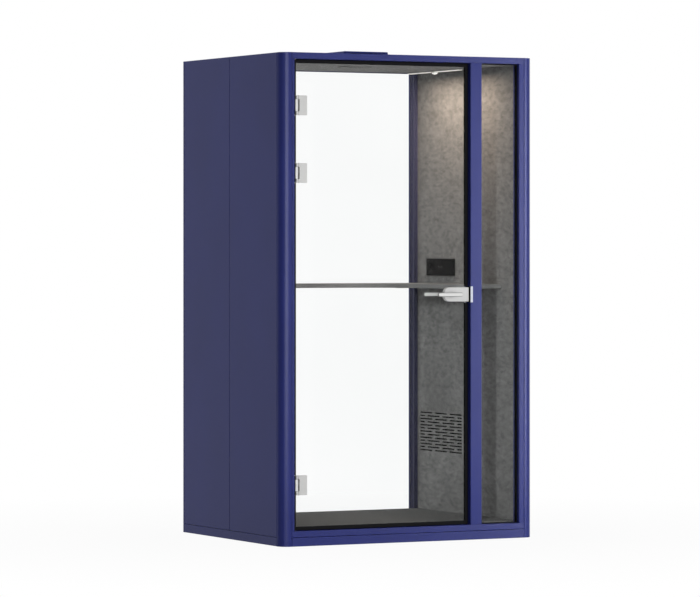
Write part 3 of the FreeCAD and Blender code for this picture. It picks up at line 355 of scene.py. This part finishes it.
def bands(tree, coords, direction, scale, twist=0.0):
    node = tree.nodes.new("ShaderNodeTexWave")
    node.bands_direction = direction
    node.inputs["Scale"].default_value = scale
    node.inputs["Distortion"].default_value = twist
    tree.links.new(coords, node.inputs["Vector"])
    return node.outputs["Fac"]


def makePlywood(name, light, dark):
    finish, tree, shader, coords = startFinish(name, light, roughness=0.7, specular=0.3)
    grain = noise(tree, stretched(tree, coords, (2, 30, 30)), scale=7, detail=5, rough=0.6, twist=1.2)
    pores = noise(tree, stretched(tree, coords, (30, 400, 400)), scale=9, detail=2)
    ply = bands(tree, coords, "Z", scale=33, twist=0.4)  # veneers show on the cut edges
    wood = added(tree, added(tree, grain, pores, share=0.3), ply, share=0.12)
    toned(tree, shader, wood, (0.45, 0.9), dark, light)
    raised(tree, shader, pores, depth=0.0002, strength=0.5)
    return finish


def makeGlass(name):
    finish, tree, shader, coords = startFinish(name, (0.985, 1.0, 0.995), roughness=0.0)
    shader.inputs["Transmission Weight"].default_value = 1.0
    shader.inputs["IOR"].default_value = 1.15
    tint = noise(tree, coords, scale=1.5, detail=2)
    toned(tree, shader, tint, (0.3, 0.7), (0.970, 0.976, 0.975), (0.984, 0.988, 0.987))
    clear = tree.nodes.new("ShaderNodeBsdfTransparent")  # lets the lamps' light through
    clear.inputs["Color"].default_value = (0.97, 0.985, 0.98, 1)
    path = tree.nodes.new("ShaderNodeLightPath")
    mixed(tree, path.outputs["Is Shadow Ray"], shader, clear, "Material Output")
    return finish


def makeOpal(name, colour, strength):
    finish, tree, shader, coords = startFinish(name, (0.9, 0.89, 0.86), roughness=0.4)
    cloud = noise(tree, coords, scale=40, detail=2)
    toned(tree, shader, cloud, (0.3, 0.7), (0.84, 0.83, 0.80), (0.95, 0.94, 0.92))
    raised(tree, shader, bands(tree, coords, "X", scale=150), depth=0.0002, strength=0.6)
    shader.inputs["Emission Color"].default_value = (*colour, 1)
    shader.inputs["Emission Strength"].default_value = strength
    return finish


finishes = {
    "frame_paint": makePowderCoat("indigoPowderCoat", paints["indigo"]),
    "roof_board": makePowderCoat("roofPaint", paints["roofIndigo"]),
    "deck_board": makePlywood("deckPlywood", (0.30, 0.19, 0.095), (0.16, 0.095, 0.045)),
    "carpet": makeCarpet("loopCarpet", paints["carpetDark"], paints["carpetLight"]),
    "felt": makeFelt("greyFelt", paints["feltDark"], paints["feltLight"]),
    "insulation": makeFelt("blackFleece", (0.004, 0.004, 0.004), (0.014, 0.014, 0.014),
                           depth=0.0015, sheen=0.0),
    "clear_glass": makeGlass("clearGlass"),
    "black_rubber": makePlastic("blackRubber", (0.008, 0.008, 0.009), roughness=0.62,
                                grainScale=1100, specular=0.08),
    "black_trim": makePlastic("blackTrim", (0.005, 0.005, 0.006), roughness=0.5,
                              grainScale=1800, specular=0.05),
    "grey_paint": makePlastic("greyPaint", paints["grey"], roughness=0.6, specular=0.1),
    "satin_steel": makeMetal("satinSteel", (0.72, 0.72, 0.71), roughness=0.36, metal=0.5),
    "satin_case": makeMetal("satinCase", (0.60, 0.60, 0.595), roughness=0.40, metal=0.5),
    # dark steel made near black: partly its own dark coat, partly painted shade on the hinge wall plates
    "dark_steel": makePlastic("darkSteelAndShadeCoat", (0.006, 0.006, 0.007), roughness=0.45,
                              grainScale=1700, specular=0.06),
    "bright_steel": makeMetal("brightSteel", (0.69, 0.72, 0.81), roughness=0.24),
    "desk_laminate": makeBoard("deskLaminate", paints["desk"], roughness=0.5),
    "panel_plastic": makePlastic("panelPlastic", paints["panel"], roughness=0.55, specular=0.02),
    "fan_plastic": makePlastic("fanPlastic", (0.014, 0.014, 0.015), roughness=0.45),
    "white_plastic": makePlastic("whitePlastic", (0.72, 0.72, 0.70), roughness=0.4),
    "lamp_metal": makeMetal("lampAluminium", (0.30, 0.30, 0.30), roughness=0.5, grain=(60, 1, 60), metal=0.3),
    "lamp_opal": makeOpal("opalCover", (1.0, 0.95, 0.87), strength=0.45),
}
for node, holder in nodes.items():
    holder.data.materials.clear()
    holder.data.materials.append(finishes[slotOf[node]])
print("finishes: ", len(finishes), "on", len(nodes), "nodes")

# shared making steps
making = {"weld": 0.00001, "flatTurn": 1, "easeSteps": 2, "latheSteps": 48, "latheTurn": 40}


def addPiece(name, mesh, finish, body, stands=()):
    mesh.materials.clear()
    mesh.materials.append(finish)
    piece = bpy.data.objects.new(name, mesh)
    scene.collection.objects.link(piece)
    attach(piece, body)
    if stands:
        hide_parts(*stands)
    return piece


def smoothFaces(mesh, turn):  # edges that turn further, in degrees, stay sharp
    for face in mesh.polygons:
        face.use_smooth = True
    mesh.set_sharp_from_angle(angle=math.radians(turn))


def meshFrom(work, name):
    mesh = bpy.data.meshes.new(name)
    work.to_mesh(mesh)
    work.free()
    return mesh


def easeEdges(piece, width, turn):  # rounds the edges that turn further
    ease = piece.modifiers.new("easedEdge", "BEVEL")
    ease.width = width
    ease.segments = making["easeSteps"]
    ease.limit_method = "ANGLE"
    ease.angle_limit = math.radians(turn)
    return ease


def softCopy(node, edge=0.0, turn=32, finish=None):  # the solid's own shape, smooth; edge is the easing, if any
    work = bmesh.new()
    work.from_mesh(nodes[node].data)
    bmesh.ops.remove_doubles(work, verts=work.verts, dist=making["weld"])
    if edge:
        bmesh.ops.dissolve_limit(work, angle_limit=math.radians(making["flatTurn"]),
                               verts=work.verts, edges=work.edges)
    mesh = meshFrom(work, node + "Skin")
    smoothFaces(mesh, turn)
    slot = slotOf[node]
    piece = addPiece(node + "Skin", mesh, finish or finishes[slot], bodyOf[node], [node])
    if edge:
        easeEdges(piece, edge, turn).harden_normals = True
    return piece


def plainMesh(holder):  # what the modifiers give, as a mesh of its own
    made = holder.evaluated_get(bpy.context.evaluated_depsgraph_get())
    mesh = bpy.data.meshes.new_from_object(made)
    bpy.data.objects.remove(holder)
    return mesh


def blockInto(work, low, high):
    size = Vector(high) - Vector(low)
    middle = (Vector(high) + Vector(low)) / 2
    for vert in bmesh.ops.create_cube(work, size=1.0)["verts"]:
        vert.co = vert.co * size + middle  # by component


def lathed(name, profile, centre):  # (radius, height) pairs about the vertical, from the top down
    steps, rows = making["latheSteps"], len(profile)
    x, y, z = centre
    points, faces = [], []
    for ring in range(steps):
        angle = math.tau * ring / steps
        points += [(x + radius * math.cos(angle), y + radius * math.sin(angle), z + height)
                   for radius, height in profile]
        here, after = ring * rows, (ring + 1) % steps * rows
        faces += [(here + row, here + row + 1, after + row + 1, after + row) for row in range(rows - 1)]
    mesh = bpy.data.meshes.new(name)
    mesh.from_pydata(points, [], faces)
    smoothFaces(mesh, making["latheTurn"])
    return mesh


def treeInputs(tree, numbers):  # sockets of a Geometry Nodes tree
    tree.interface.new_socket("Geometry", in_out="INPUT", socket_type="NodeSocketGeometry")
    for name, number in numbers.items():
        tree.interface.new_socket(name, in_out="INPUT", socket_type="NodeSocketFloat").default_value = number
    tree.interface.new_socket("Finish", in_out="INPUT", socket_type="NodeSocketMaterial")
    tree.interface.new_socket("Geometry", in_out="OUTPUT", socket_type="NodeSocketGeometry")
    return tree.nodes.new("NodeGroupInput").outputs


def treeEnd(tree, socket, finish):
    real = tree.nodes.new("GeometryNodeRealizeInstances")
    paint = tree.nodes.new("GeometryNodeSetMaterial")
    tree.links.new(socket, real.inputs["Geometry"])
    tree.links.new(real.outputs["Geometry"], paint.inputs["Geometry"])
    tree.links.new(finish, paint.inputs["Material"])
    tree.links.new(paint.outputs["Geometry"], tree.nodes.new("NodeGroupOutput").inputs["Geometry"])


def times(tree, socket, factor):  # a socket by a constant
    node = tree.nodes.new("ShaderNodeMath")
    node.operation = "MULTIPLY"
    node.inputs[1].default_value = factor
    tree.links.new(socket, node.inputs[0])
    return node.outputs[0]


def grown(name, mesh, tree, numbers, finish):  # runs a tree on a mesh and gives the plain result
    holder = bpy.data.objects.new(name, mesh)
    scene.collection.objects.link(holder)
    grow = holder.modifiers.new("grow", "NODES")
    grow.node_group = tree
    for item in tree.interface.items_tree:
        if item.in_out == "INPUT" and item.name in numbers:
            grow[item.identifier] = numbers[item.name]
        if item.in_out == "INPUT" and item.name == "Finish":
            grow[item.identifier] = finish
    return plainMesh(holder)


# screw heads with a hexagon key, one on each marked point, turned to its facing
screwShape = {"sides": 20, "topShare": 0.8, "keySides": 6, "keyShare": 1.4,
              "head": {"Head Radius": 0.004, "Head Height": 0.002, "Key Radius": 0.0016}}


def makeScrewTree():
    tree = bpy.data.node_groups.new("screwHeads", "GeometryNodeTree")
    given = treeInputs(tree, screwShape["head"])
    head = tree.nodes.new("GeometryNodeMeshCone")
    head.inputs["Vertices"].default_value = screwShape["sides"]
    tree.links.new(given["Head Radius"], head.inputs["Radius Bottom"])
    tree.links.new(times(tree, given["Head Radius"], screwShape["topShare"]), head.inputs["Radius Top"])
    tree.links.new(given["Head Height"], head.inputs["Depth"])
    key = tree.nodes.new("GeometryNodeMeshCylinder")
    key.inputs["Vertices"].default_value = screwShape["keySides"]
    tree.links.new(given["Key Radius"], key.inputs["Radius"])
    tree.links.new(times(tree, given["Head Height"], screwShape["keyShare"]), key.inputs["Depth"])
    lift = tree.nodes.new("ShaderNodeCombineXYZ")
    tree.links.new(given["Head Height"], lift.inputs["Z"])
    raiseKey = tree.nodes.new("GeometryNodeTransform")
    tree.links.new(key.outputs["Mesh"], raiseKey.inputs["Geometry"])
    tree.links.new(lift.outputs[0], raiseKey.inputs["Translation"])
    cutKey = tree.nodes.new("GeometryNodeMeshBoolean")
    cutKey.operation = "DIFFERENCE"
    tree.links.new(head.outputs["Mesh"], cutKey.inputs[0])
    tree.links.new(raiseKey.outputs[0], cutKey.inputs[1])
    facing = tree.nodes.new("GeometryNodeInputNamedAttribute")
    facing.data_type = "FLOAT_VECTOR"
    facing.inputs["Name"].default_value = "facing"
    turn = tree.nodes.new("FunctionNodeAlignRotationToVector")
    turn.axis = "Z"
    tree.links.new(facing.outputs["Attribute"], turn.inputs["Vector"])
    spot = tree.nodes.new("GeometryNodeInstanceOnPoints")
    tree.links.new(given["Geometry"], spot.inputs["Points"])
    tree.links.new(cutKey.outputs[0], spot.inputs["Instance"])
    tree.links.new(turn.outputs[0], spot.inputs["Rotation"])
    treeEnd(tree, spot.outputs["Instances"], given["Finish"])
    return tree


screwTree = makeScrewTree()


def screws(name, places, body, slot, radius, height, key):  # places are (point, facing) pairs
    points = bpy.data.meshes.new(name)
    points.from_pydata([place for place, facing in places], [], [])
    marks = points.attributes.new("facing", "FLOAT_VECTOR", "POINT")
    for mark, (place, facing) in zip(marks.data, places):
        mark.vector = facing
    mesh = grown(name + "Field", points, screwTree,
                 {"Head Radius": radius, "Head Height": height, "Key Radius": key}, finishes[slot])
    smoothFaces(mesh, turn=30)
    return addPiece(name, mesh, finishes[slot], body)


# frame: the rounded posts are smoothed, the flat members at the front keep their own solids
for node in ("post_front_left", "post_front_right", "post_rear_left", "post_rear_right"):
    softCopy(node)
print("frame: smooth posts")

# linings: the felt cut walls of the air slots are given the black fleece finish, as painted shade in the slots
slots = {"y": (0.040, 0.472), "z": (0.372, 0.572), "shadedCutWall": 0.5}
lining = softCopy("right_felt_lining")
lining.data.materials.append(finishes["insulation"])
for face in lining.data.polygons:
    inRows = slots["y"][0] < face.center.y < slots["y"][1]
    inGrille = inRows and slots["z"][0] < face.center.z < slots["z"][1]
    # painted shade: slot walls facing across the slot are painted black
    face.material_index = int(inGrille and abs(face.normal.x) < slots["shadedCutWall"])
print("linings: dark slot walls")

# rear frame: indigo outside; the faces toward the cabin get a grey slate coat, a painted reflection on the same
# indigo paint, and its rear beads get it too
rearFrame = {"members": ("rear_left_jamb", "rear_right_jamb", "rear_top_rail", "rear_bottom_rail"),
             "beadFront": 0.520, "beadEdge": 0.0006, "slateReflection": (0.062, 0.064, 0.126)}


def makeRearFrame():
    slateReflection = makePowderCoat("slateReflectionCoat", rearFrame["slateReflection"])
    split = rearFrame["beadFront"]
    for node in rearFrame["members"]:
        member = softCopy(node)
        work = bmesh.new()
        work.from_mesh(member.data)
        bmesh.ops.bisect_plane(work, geom=[*work.verts, *work.edges, *work.faces],
                               plane_co=(0, split, 0), plane_no=(0, 1, 0))
        work.to_mesh(member.data)
        work.free()
        # painted reflection: the cabin side of the same paint is given a greyer coat
        member.data.materials.append(slateReflection)
        for face in member.data.polygons:
            face.material_index = int(face.center.y < split)
    beads = softCopy("glazing_gaskets", rearFrame["beadEdge"])
    beads.data.materials.append(slateReflection)
    for face in beads.data.polygons:
        face.material_index = int(face.center.y > 0)  # the rear glass's beads


makeRearFrame()
print("rear frame: slate inside")

# glass hinges: clamps with eased edges, screws on the inner plates and on the wall plates
hinges = {
    "levels": (0.284, 1.739, 2.054), "pivotX": -0.583, "glassY": -0.530, "knuckleX": -0.5985,
    "clampEdge": 0.0009, "bracketEdge": 0.00054, "pinEdge": 0.0008,
    "clampSteel": (0.58, 0.58, 0.57), "clampRough": 0.38, "clampMetal": 0.5,
    "clampScrew": (0.030, 0.026), "innerFace": 0.010, "wallFace": -0.016, "wallScrew": (0.0145, 0.037),
    "head": (0.0046, 0.0018, 0.0019), "wallHeadShare": 0.85,  # head: radius, height, key radius
}


def makeHinges():
    clampSteel = makeMetal("clampSteel", hinges["clampSteel"], hinges["clampRough"], metal=hinges["clampMetal"])
    softCopy("hinge_clamps", hinges["clampEdge"], finish=clampSteel)
    bracket = softCopy("hinge_wall_brackets", hinges["bracketEdge"])
    bracket.data.materials.append(finishes["satin_steel"])  # the wall plate is dark steel, blackened further as painted shade of its shadowed arm; bright knuckle
    for face in bracket.data.polygons:
        face.material_index = int(face.center.x > hinges["knuckleX"])
    softCopy("hinge_pins", hinges["pinEdge"])
    across, up = hinges["clampScrew"]
    side, rise = hinges["wallScrew"]
    clampX, wallX = hinges["pivotX"] + across, hinges["pivotX"] + hinges["wallFace"]
    innerY = hinges["glassY"] + hinges["innerFace"]
    inner, wall = [], []
    for level in hinges["levels"]:
        for sign in (-1, 1):
            inner.append(((clampX, innerY, level + sign * up), (0, 1, 0)))
            for hand in (-1, 1):
                wall.append(((wallX, hinges["glassY"] + hand * side, level + sign * rise), (1, 0, 0)))
    screws("hingeClampScrews", inner, "door", "satin_steel", *hinges["head"])
    wallHead = [size * hinges["wallHeadShare"] for size in hinges["head"]]
    screws("hingeWallScrews", wall, "pod", "dark_steel", *wallHead)


makeHinges()
print("hinges: ", len(hinges["levels"]), "with screws")

# patch lock: satin cases, levers on a square spindle, latch and strike
lock = {
    "fineEdge": 0.0004, "caseTurn": 40, "leverTurn": 50, "middleZ": 1.1685, "innerY": -0.505,
    "caseScrews": ((0.299, 0.022), (0.299, -0.022)),
    # faces of the strike's side leg are painted black as shade
    "strikeX": 0.3345, "strikeY": -0.562, "strikeScrew": 0.028, "shadedLegFacing": -0.7,
    # the edge colour below is painted shade for the lever's turned edges
    "leverFlat": 0.93, "leverFace": (0.67, 0.67, 0.66), "leverEdgeShade": (0.20, 0.20, 0.20),
    "faceRough": 0.36, "edgeRough": 0.34, "leverMetal": 0.5,
    "caseHead": (0.0034, 0.0012, 0.0015), "strikeHead": (0.0028, 0.0006, 0.0012),  # radius, height, key radius
}


def makeLock():
    for node in ("lock_case_outer", "lock_case_inner"):
        softCopy(node, turn=lock["caseTurn"])
    leverSteel = makeMetal("leverSteel", lock["leverFace"], lock["faceRough"], metal=lock["leverMetal"])
    edgeShadeSteel = makeMetal("edgeShadeSteel", lock["leverEdgeShade"], lock["edgeRough"], metal=lock["leverMetal"])
    for node in ("lever_outer", "lever_inner"):
        lever = softCopy(node, turn=lock["leverTurn"], finish=leverSteel)
        lever.data.materials.append(edgeShadeSteel)  # painted shade: the turned edges are darkened as an outline of shade, darker than the flats
        for face in lever.data.polygons:
            face.material_index = int(abs(face.normal.y) < lock["leverFlat"])
    softCopy("latch_bolt", lock["fineEdge"])
    softCopy("lock_spindle", lock["fineEdge"])
    strike = softCopy("strike_plate", lock["fineEdge"])
    strike.data.materials.append(finishes["black_trim"])  # bright lip; the leg in the door gap is painted black trim as painted shade of the gap
    for face in strike.data.polygons:
        face.material_index = int(face.normal.x < lock["shadedLegFacing"])
    middle = lock["middleZ"]
    caseSpots = [((x, lock["innerY"], middle + z), (0, 1, 0)) for x, z in lock["caseScrews"]]
    screws("lockCaseScrews", caseSpots, "door", "satin_case", *lock["caseHead"])
    strikeSpots = [((lock["strikeX"], lock["strikeY"], middle + sign * lock["strikeScrew"]), (0, -1, 0))
                   for sign in (-1, 1)]
    screws("strikeScrews", strikeSpots, "pod", "bright_steel", *lock["strikeHead"])


makeLock()
print("lock: cases, levers, latch and strike")

# power panel: eased face, a socket well with pin holes, two charging ports, and two rockers
power = {
    "module": (0.080, 0.064), "shadowGap": 0.0002, "panelEdge": 0.0008, "rockerEdge": 0.0005,
    "faceEdge": 0.0006, "faceTurn": 40, "overcut": 0.01,
    "wellRadius": 0.0195, "wellDepth": 0.0095, "wellSides": 40,
    "pinRadius": 0.0026, "pinApart": 0.019, "pinReach": (0.002, 0.0155), "pinSides": 20,
    "port": (0.0128, 0.0058), "portDepth": 0.010, "portsApart": 0.030,
    "tongueReach": (0.0015, 0.0098), "tongueHalf": 0.0050, "tongueRise": (0.0002, 0.0020),
    "clipReach": (0.001, 0.0094), "clipHalf": 0.0022, "clipThick": 0.0018, "clipInset": 0.0012,
    "contactEdge": 0.0004, "contactTurn": 30,
}


def cutBy(holder, cutterMesh):
    cutter = bpy.data.objects.new("cutter", cutterMesh)
    scene.collection.objects.link(cutter)
    carve = holder.modifiers.new("carve", "BOOLEAN")
    carve.operation = "DIFFERENCE"
    carve.solver = "EXACT"
    carve.object = cutter
    return cutter


def rodInto(work, radius, start, end, y, z, sides):  # a rod along X
    turn = Matrix.Translation(((start + end) / 2, y, z)) @ Matrix.Rotation(math.pi / 2, 4, "Y")
    bmesh.ops.create_cone(work, cap_ends=True, segments=sides, radius1=radius, radius2=radius,
                          depth=end - start, matrix=turn)


def makePowerPanel():
    softCopy("power_panel", power["panelEdge"])
    for node in ("light_rocker", "fan_rocker"):
        softCopy(node, power["rockerEdge"])
    low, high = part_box("outlet_modules")
    face, z = low[0], (low[2] + high[2]) / 2
    long, tall = power["module"]
    socketY, portsY = high[1] - long / 2, low[1] + long / 2
    portPlaces = [portsY + sign * power["portsApart"] / 2 for sign in (-1, 1)]
    across, up = long / 2 - power["shadowGap"], tall / 2 - power["shadowGap"]
    plates, wells, pins, clips = (bmesh.new() for each in range(4))
    for y in (socketY, portsY):
        blockInto(plates, (face, y - across, z - up), (high[0], y + across, z + up))
    start = face - power["overcut"]
    rodInto(wells, power["wellRadius"], start, face + power["wellDepth"], socketY, z, power["wellSides"])
    wide, rise = (side / 2 for side in power["port"])
    for y in portPlaces:
        blockInto(wells, (start, y - wide, z - rise), (face + power["portDepth"], y + wide, z + rise))
    near, far = (face + reach for reach in power["pinReach"])
    for sign in (-1, 1):
        y = socketY + sign * power["pinApart"] / 2
        rodInto(pins, power["pinRadius"], near, far, y, z, power["pinSides"])
    holder = bpy.data.objects.new("outletFaces", meshFrom(plates, "outletFaces"))
    scene.collection.objects.link(holder)
    cutters = [cutBy(holder, meshFrom(wells, "wells")), cutBy(holder, meshFrom(pins, "pins"))]
    easeEdges(holder, power["faceEdge"], power["faceTurn"])
    mesh = plainMesh(holder)
    for cutter in cutters:
        bpy.data.objects.remove(cutter)
    smoothFaces(mesh, turn=35)
    addPiece("outletFaces", mesh, finishes["panel_plastic"], "pod", ["outlet_modules"])
    for sign, y in zip((-1, 1), portPlaces):  # tongues in the ports and earth clips in the well
        near, far = (face + reach for reach in power["tongueReach"])
        bottom, top = (z + rise for rise in power["tongueRise"])
        blockInto(clips, (near, y - power["tongueHalf"], bottom), (far, y + power["tongueHalf"], top))
        near, far = (face + reach for reach in power["clipReach"])
        edgeZ = z + sign * (power["wellRadius"] - power["clipInset"])
        half, thin = power["clipHalf"], power["clipThick"] / 2
        blockInto(clips, (near, socketY - half, edgeZ - thin), (far, socketY + half, edgeZ + thin))
    contacts = addPiece("outletContacts", meshFrom(clips, "outletContacts"), finishes["satin_steel"],
                        "pod")
    easeEdges(contacts, power["contactEdge"], power["contactTurn"])


makePowerPanel()
print("power panel: socket, ports and rockers")

# desk: smooth laminate top on grey angle brackets with eased edges
desk = {"topTurn": 30, "bracketEdge": 0.0006}
softCopy("desk_top", turn=desk["topTurn"])
softCopy("desk_brackets", desk["bracketEdge"])
print("desk: top and brackets")

# lamp strip with a faceted motion sensor in its middle
# the sensor's glow colour and strength are a painted glow on its lens
sensor = {"rim": 0.018, "rimHeight": 0.005, "rimTop": 0.0006, "rimEase": 0.0008, "rimFoot": 0.0012,
          "lens": 0.0150, "lensGap": 0.0002, "lensSlack": 0.0003, "drop": 0.009, "seat": 0.0006, "keep": 0.0030,
          "facetLevel": 4, "facetShare": 0.8, "facetRaise": 0.0002,
          "axis": 0.0001, "glow": (1.0, 0.97, 0.92), "paintedGlowStrength": 0.55}
strip = {"housingEdge": 0.0008, "coverEdge": 0.0004, "coverTurn": 30}


def makeLensTree():
    tree = bpy.data.node_groups.new("lensFacets", "GeometryNodeTree")
    given = treeInputs(tree, {"Lens Radius": sensor["lens"], "Lens Drop": sensor["drop"],
                              "Facet Raise": sensor["facetRaise"]})
    ball = tree.nodes.new("GeometryNodeMeshIcoSphere")
    ball.inputs["Subdivisions"].default_value = sensor["facetLevel"]
    tree.links.new(given["Lens Radius"], ball.inputs["Radius"])
    facets = tree.nodes.new("GeometryNodeDualMesh")
    tree.links.new(ball.outputs["Mesh"], facets.inputs["Mesh"])
    lift = tree.nodes.new("GeometryNodeExtrudeMesh")
    tree.links.new(facets.outputs["Dual Mesh"], lift.inputs["Mesh"])
    tree.links.new(given["Facet Raise"], lift.inputs["Offset Scale"])
    pinch = tree.nodes.new("GeometryNodeScaleElements")
    pinch.inputs["Scale"].default_value = sensor["facetShare"]
    tree.links.new(lift.outputs["Mesh"], pinch.inputs["Geometry"])
    tree.links.new(lift.outputs["Top"], pinch.inputs["Selection"])
    ratio = maths(tree, "DIVIDE", given["Lens Drop"], given["Lens Radius"])
    size = tree.nodes.new("ShaderNodeCombineXYZ")
    size.inputs["X"].default_value = 1
    size.inputs["Y"].default_value = 1
    tree.links.new(ratio, size.inputs["Z"])
    flat = tree.nodes.new("GeometryNodeTransform")
    tree.links.new(pinch.outputs["Geometry"], flat.inputs["Geometry"])
    tree.links.new(size.outputs[0], flat.inputs["Scale"])
    treeEnd(tree, flat.outputs["Geometry"], given["Finish"])
    return tree


def makeLamp():
    softCopy("lamp_housing", strip["housingEdge"])
    softCopy("lamp_diffuser", strip["coverEdge"], strip["coverTurn"])
    corner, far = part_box("motion_sensor")
    x, y = (corner[0] + far[0]) / 2, (corner[1] + far[1]) / 2
    top = far[2]
    low = top - sensor["rimHeight"]
    foot, bore, axis = sensor["rimFoot"], sensor["lens"] + sensor["lensGap"], sensor["axis"]
    rim = lathed("sensorRim", [
        (axis, top), (sensor["rim"] - sensor["rimTop"], top), (sensor["rim"], top - sensor["rimEase"]),
        (sensor["rim"], low + foot), (sensor["rim"] - foot, low), (bore, low), (bore, low + foot),
        (axis, low + foot)], (x, y, 0))
    addPiece("sensorRim", rim, finishes["white_plastic"], "pod", ["motion_sensor"])
    lensPaintedGlow = makeOpal("sensorPaintedGlow", sensor["glow"], sensor["paintedGlowStrength"])  # painted glow: the lens emits light though it is no lamp
    seed = bpy.data.meshes.new("sensorSeed")
    sizes = {"Lens Radius": sensor["lens"] - sensor["lensSlack"], "Lens Drop": sensor["drop"]}
    lens = grown("sensorLens", seed, makeLensTree(), sizes, lensPaintedGlow)
    lens.transform(Matrix.Translation((x, y, low + sensor["seat"])))
    work = bmesh.new()
    work.from_mesh(lens)
    upper = [vert for vert in work.verts if vert.co.z > low + sensor["keep"]]  # hidden inside the rim
    bmesh.ops.delete(work, geom=upper, context="VERTS")
    work.to_mesh(lens)
    work.free()
    addPiece("sensorLens", lens, lensPaintedGlow, "pod")


makeLamp()
print("lamp: opal strip and sensor lens")

# roof fan under its cowl, ceiling vent, cable gland and feet
roofKit = {"cowlEdge": 0.0008, "housingEdge": 0.0006, "ventEdge": 0.0005, "fineEdge": 0.0004, "turn": 30,
           "ventScrew": 0.0765, "ventLow": 2.264, "ventTurns": (45, 135, 225, 315),
           "ventHead": (0.0032, 0.0012, 0.0014), "axis": 0.0001, "matRadius": 0.066, "matZ": (2.2682, 2.2702)}


def makeRoofKit():
    turn = roofKit["turn"]
    softCopy("fan_cowl", roofKit["cowlEdge"], turn)
    softCopy("fan_housing", roofKit["housingEdge"], turn)
    softCopy("fan_rotor", roofKit["fineEdge"], turn)
    softCopy("ceiling_vent", roofKit["ventEdge"], turn)
    low, high = roofKit["matZ"]  # filter mat above the vent's slots
    axis, wide = roofKit["axis"], roofKit["matRadius"]
    mat = lathed("ventMat", [(axis, high), (wide, high), (wide, low), (axis, low)], (0, 0, 0))
    addPiece("ventMat", mat, finishes["felt"], "pod")
    softCopy("cable_gland", roofKit["fineEdge"], turn)
    softCopy("levelling_feet", roofKit["fineEdge"], turn)
    ring, level = roofKit["ventScrew"], roofKit["ventLow"]
    around = [math.radians(angle) for angle in roofKit["ventTurns"]]
    spots = [((ring * math.cos(angle), ring * math.sin(angle), level), (0, 0, -1)) for angle in around]
    screws("ventScrews", spots, "pod", "grey_paint", *roofKit["ventHead"])


makeRoofKit()
print("roof: fan, cowl, vent and gland")

# which pieces the kept lamps reach
reached = {"rails": ("front_top_rail", "front_bottom_rail", "base_front_beam"),
           "cabinCoats": ("felt", "desk_laminate", "carpet")}
cabinCoats = [finishes[name] for name in reached["cabinCoats"]]
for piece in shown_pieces():
    coat = piece.data.materials[0]
    if coat == finishes["frame_paint"]:
        lit["paintGloss"].objects.link(piece)
    if piece.name in reached["rails"]:
        lit["railGloss"].objects.link(piece)
    if coat in cabinCoats:
        lit["cabin"].objects.link(piece)
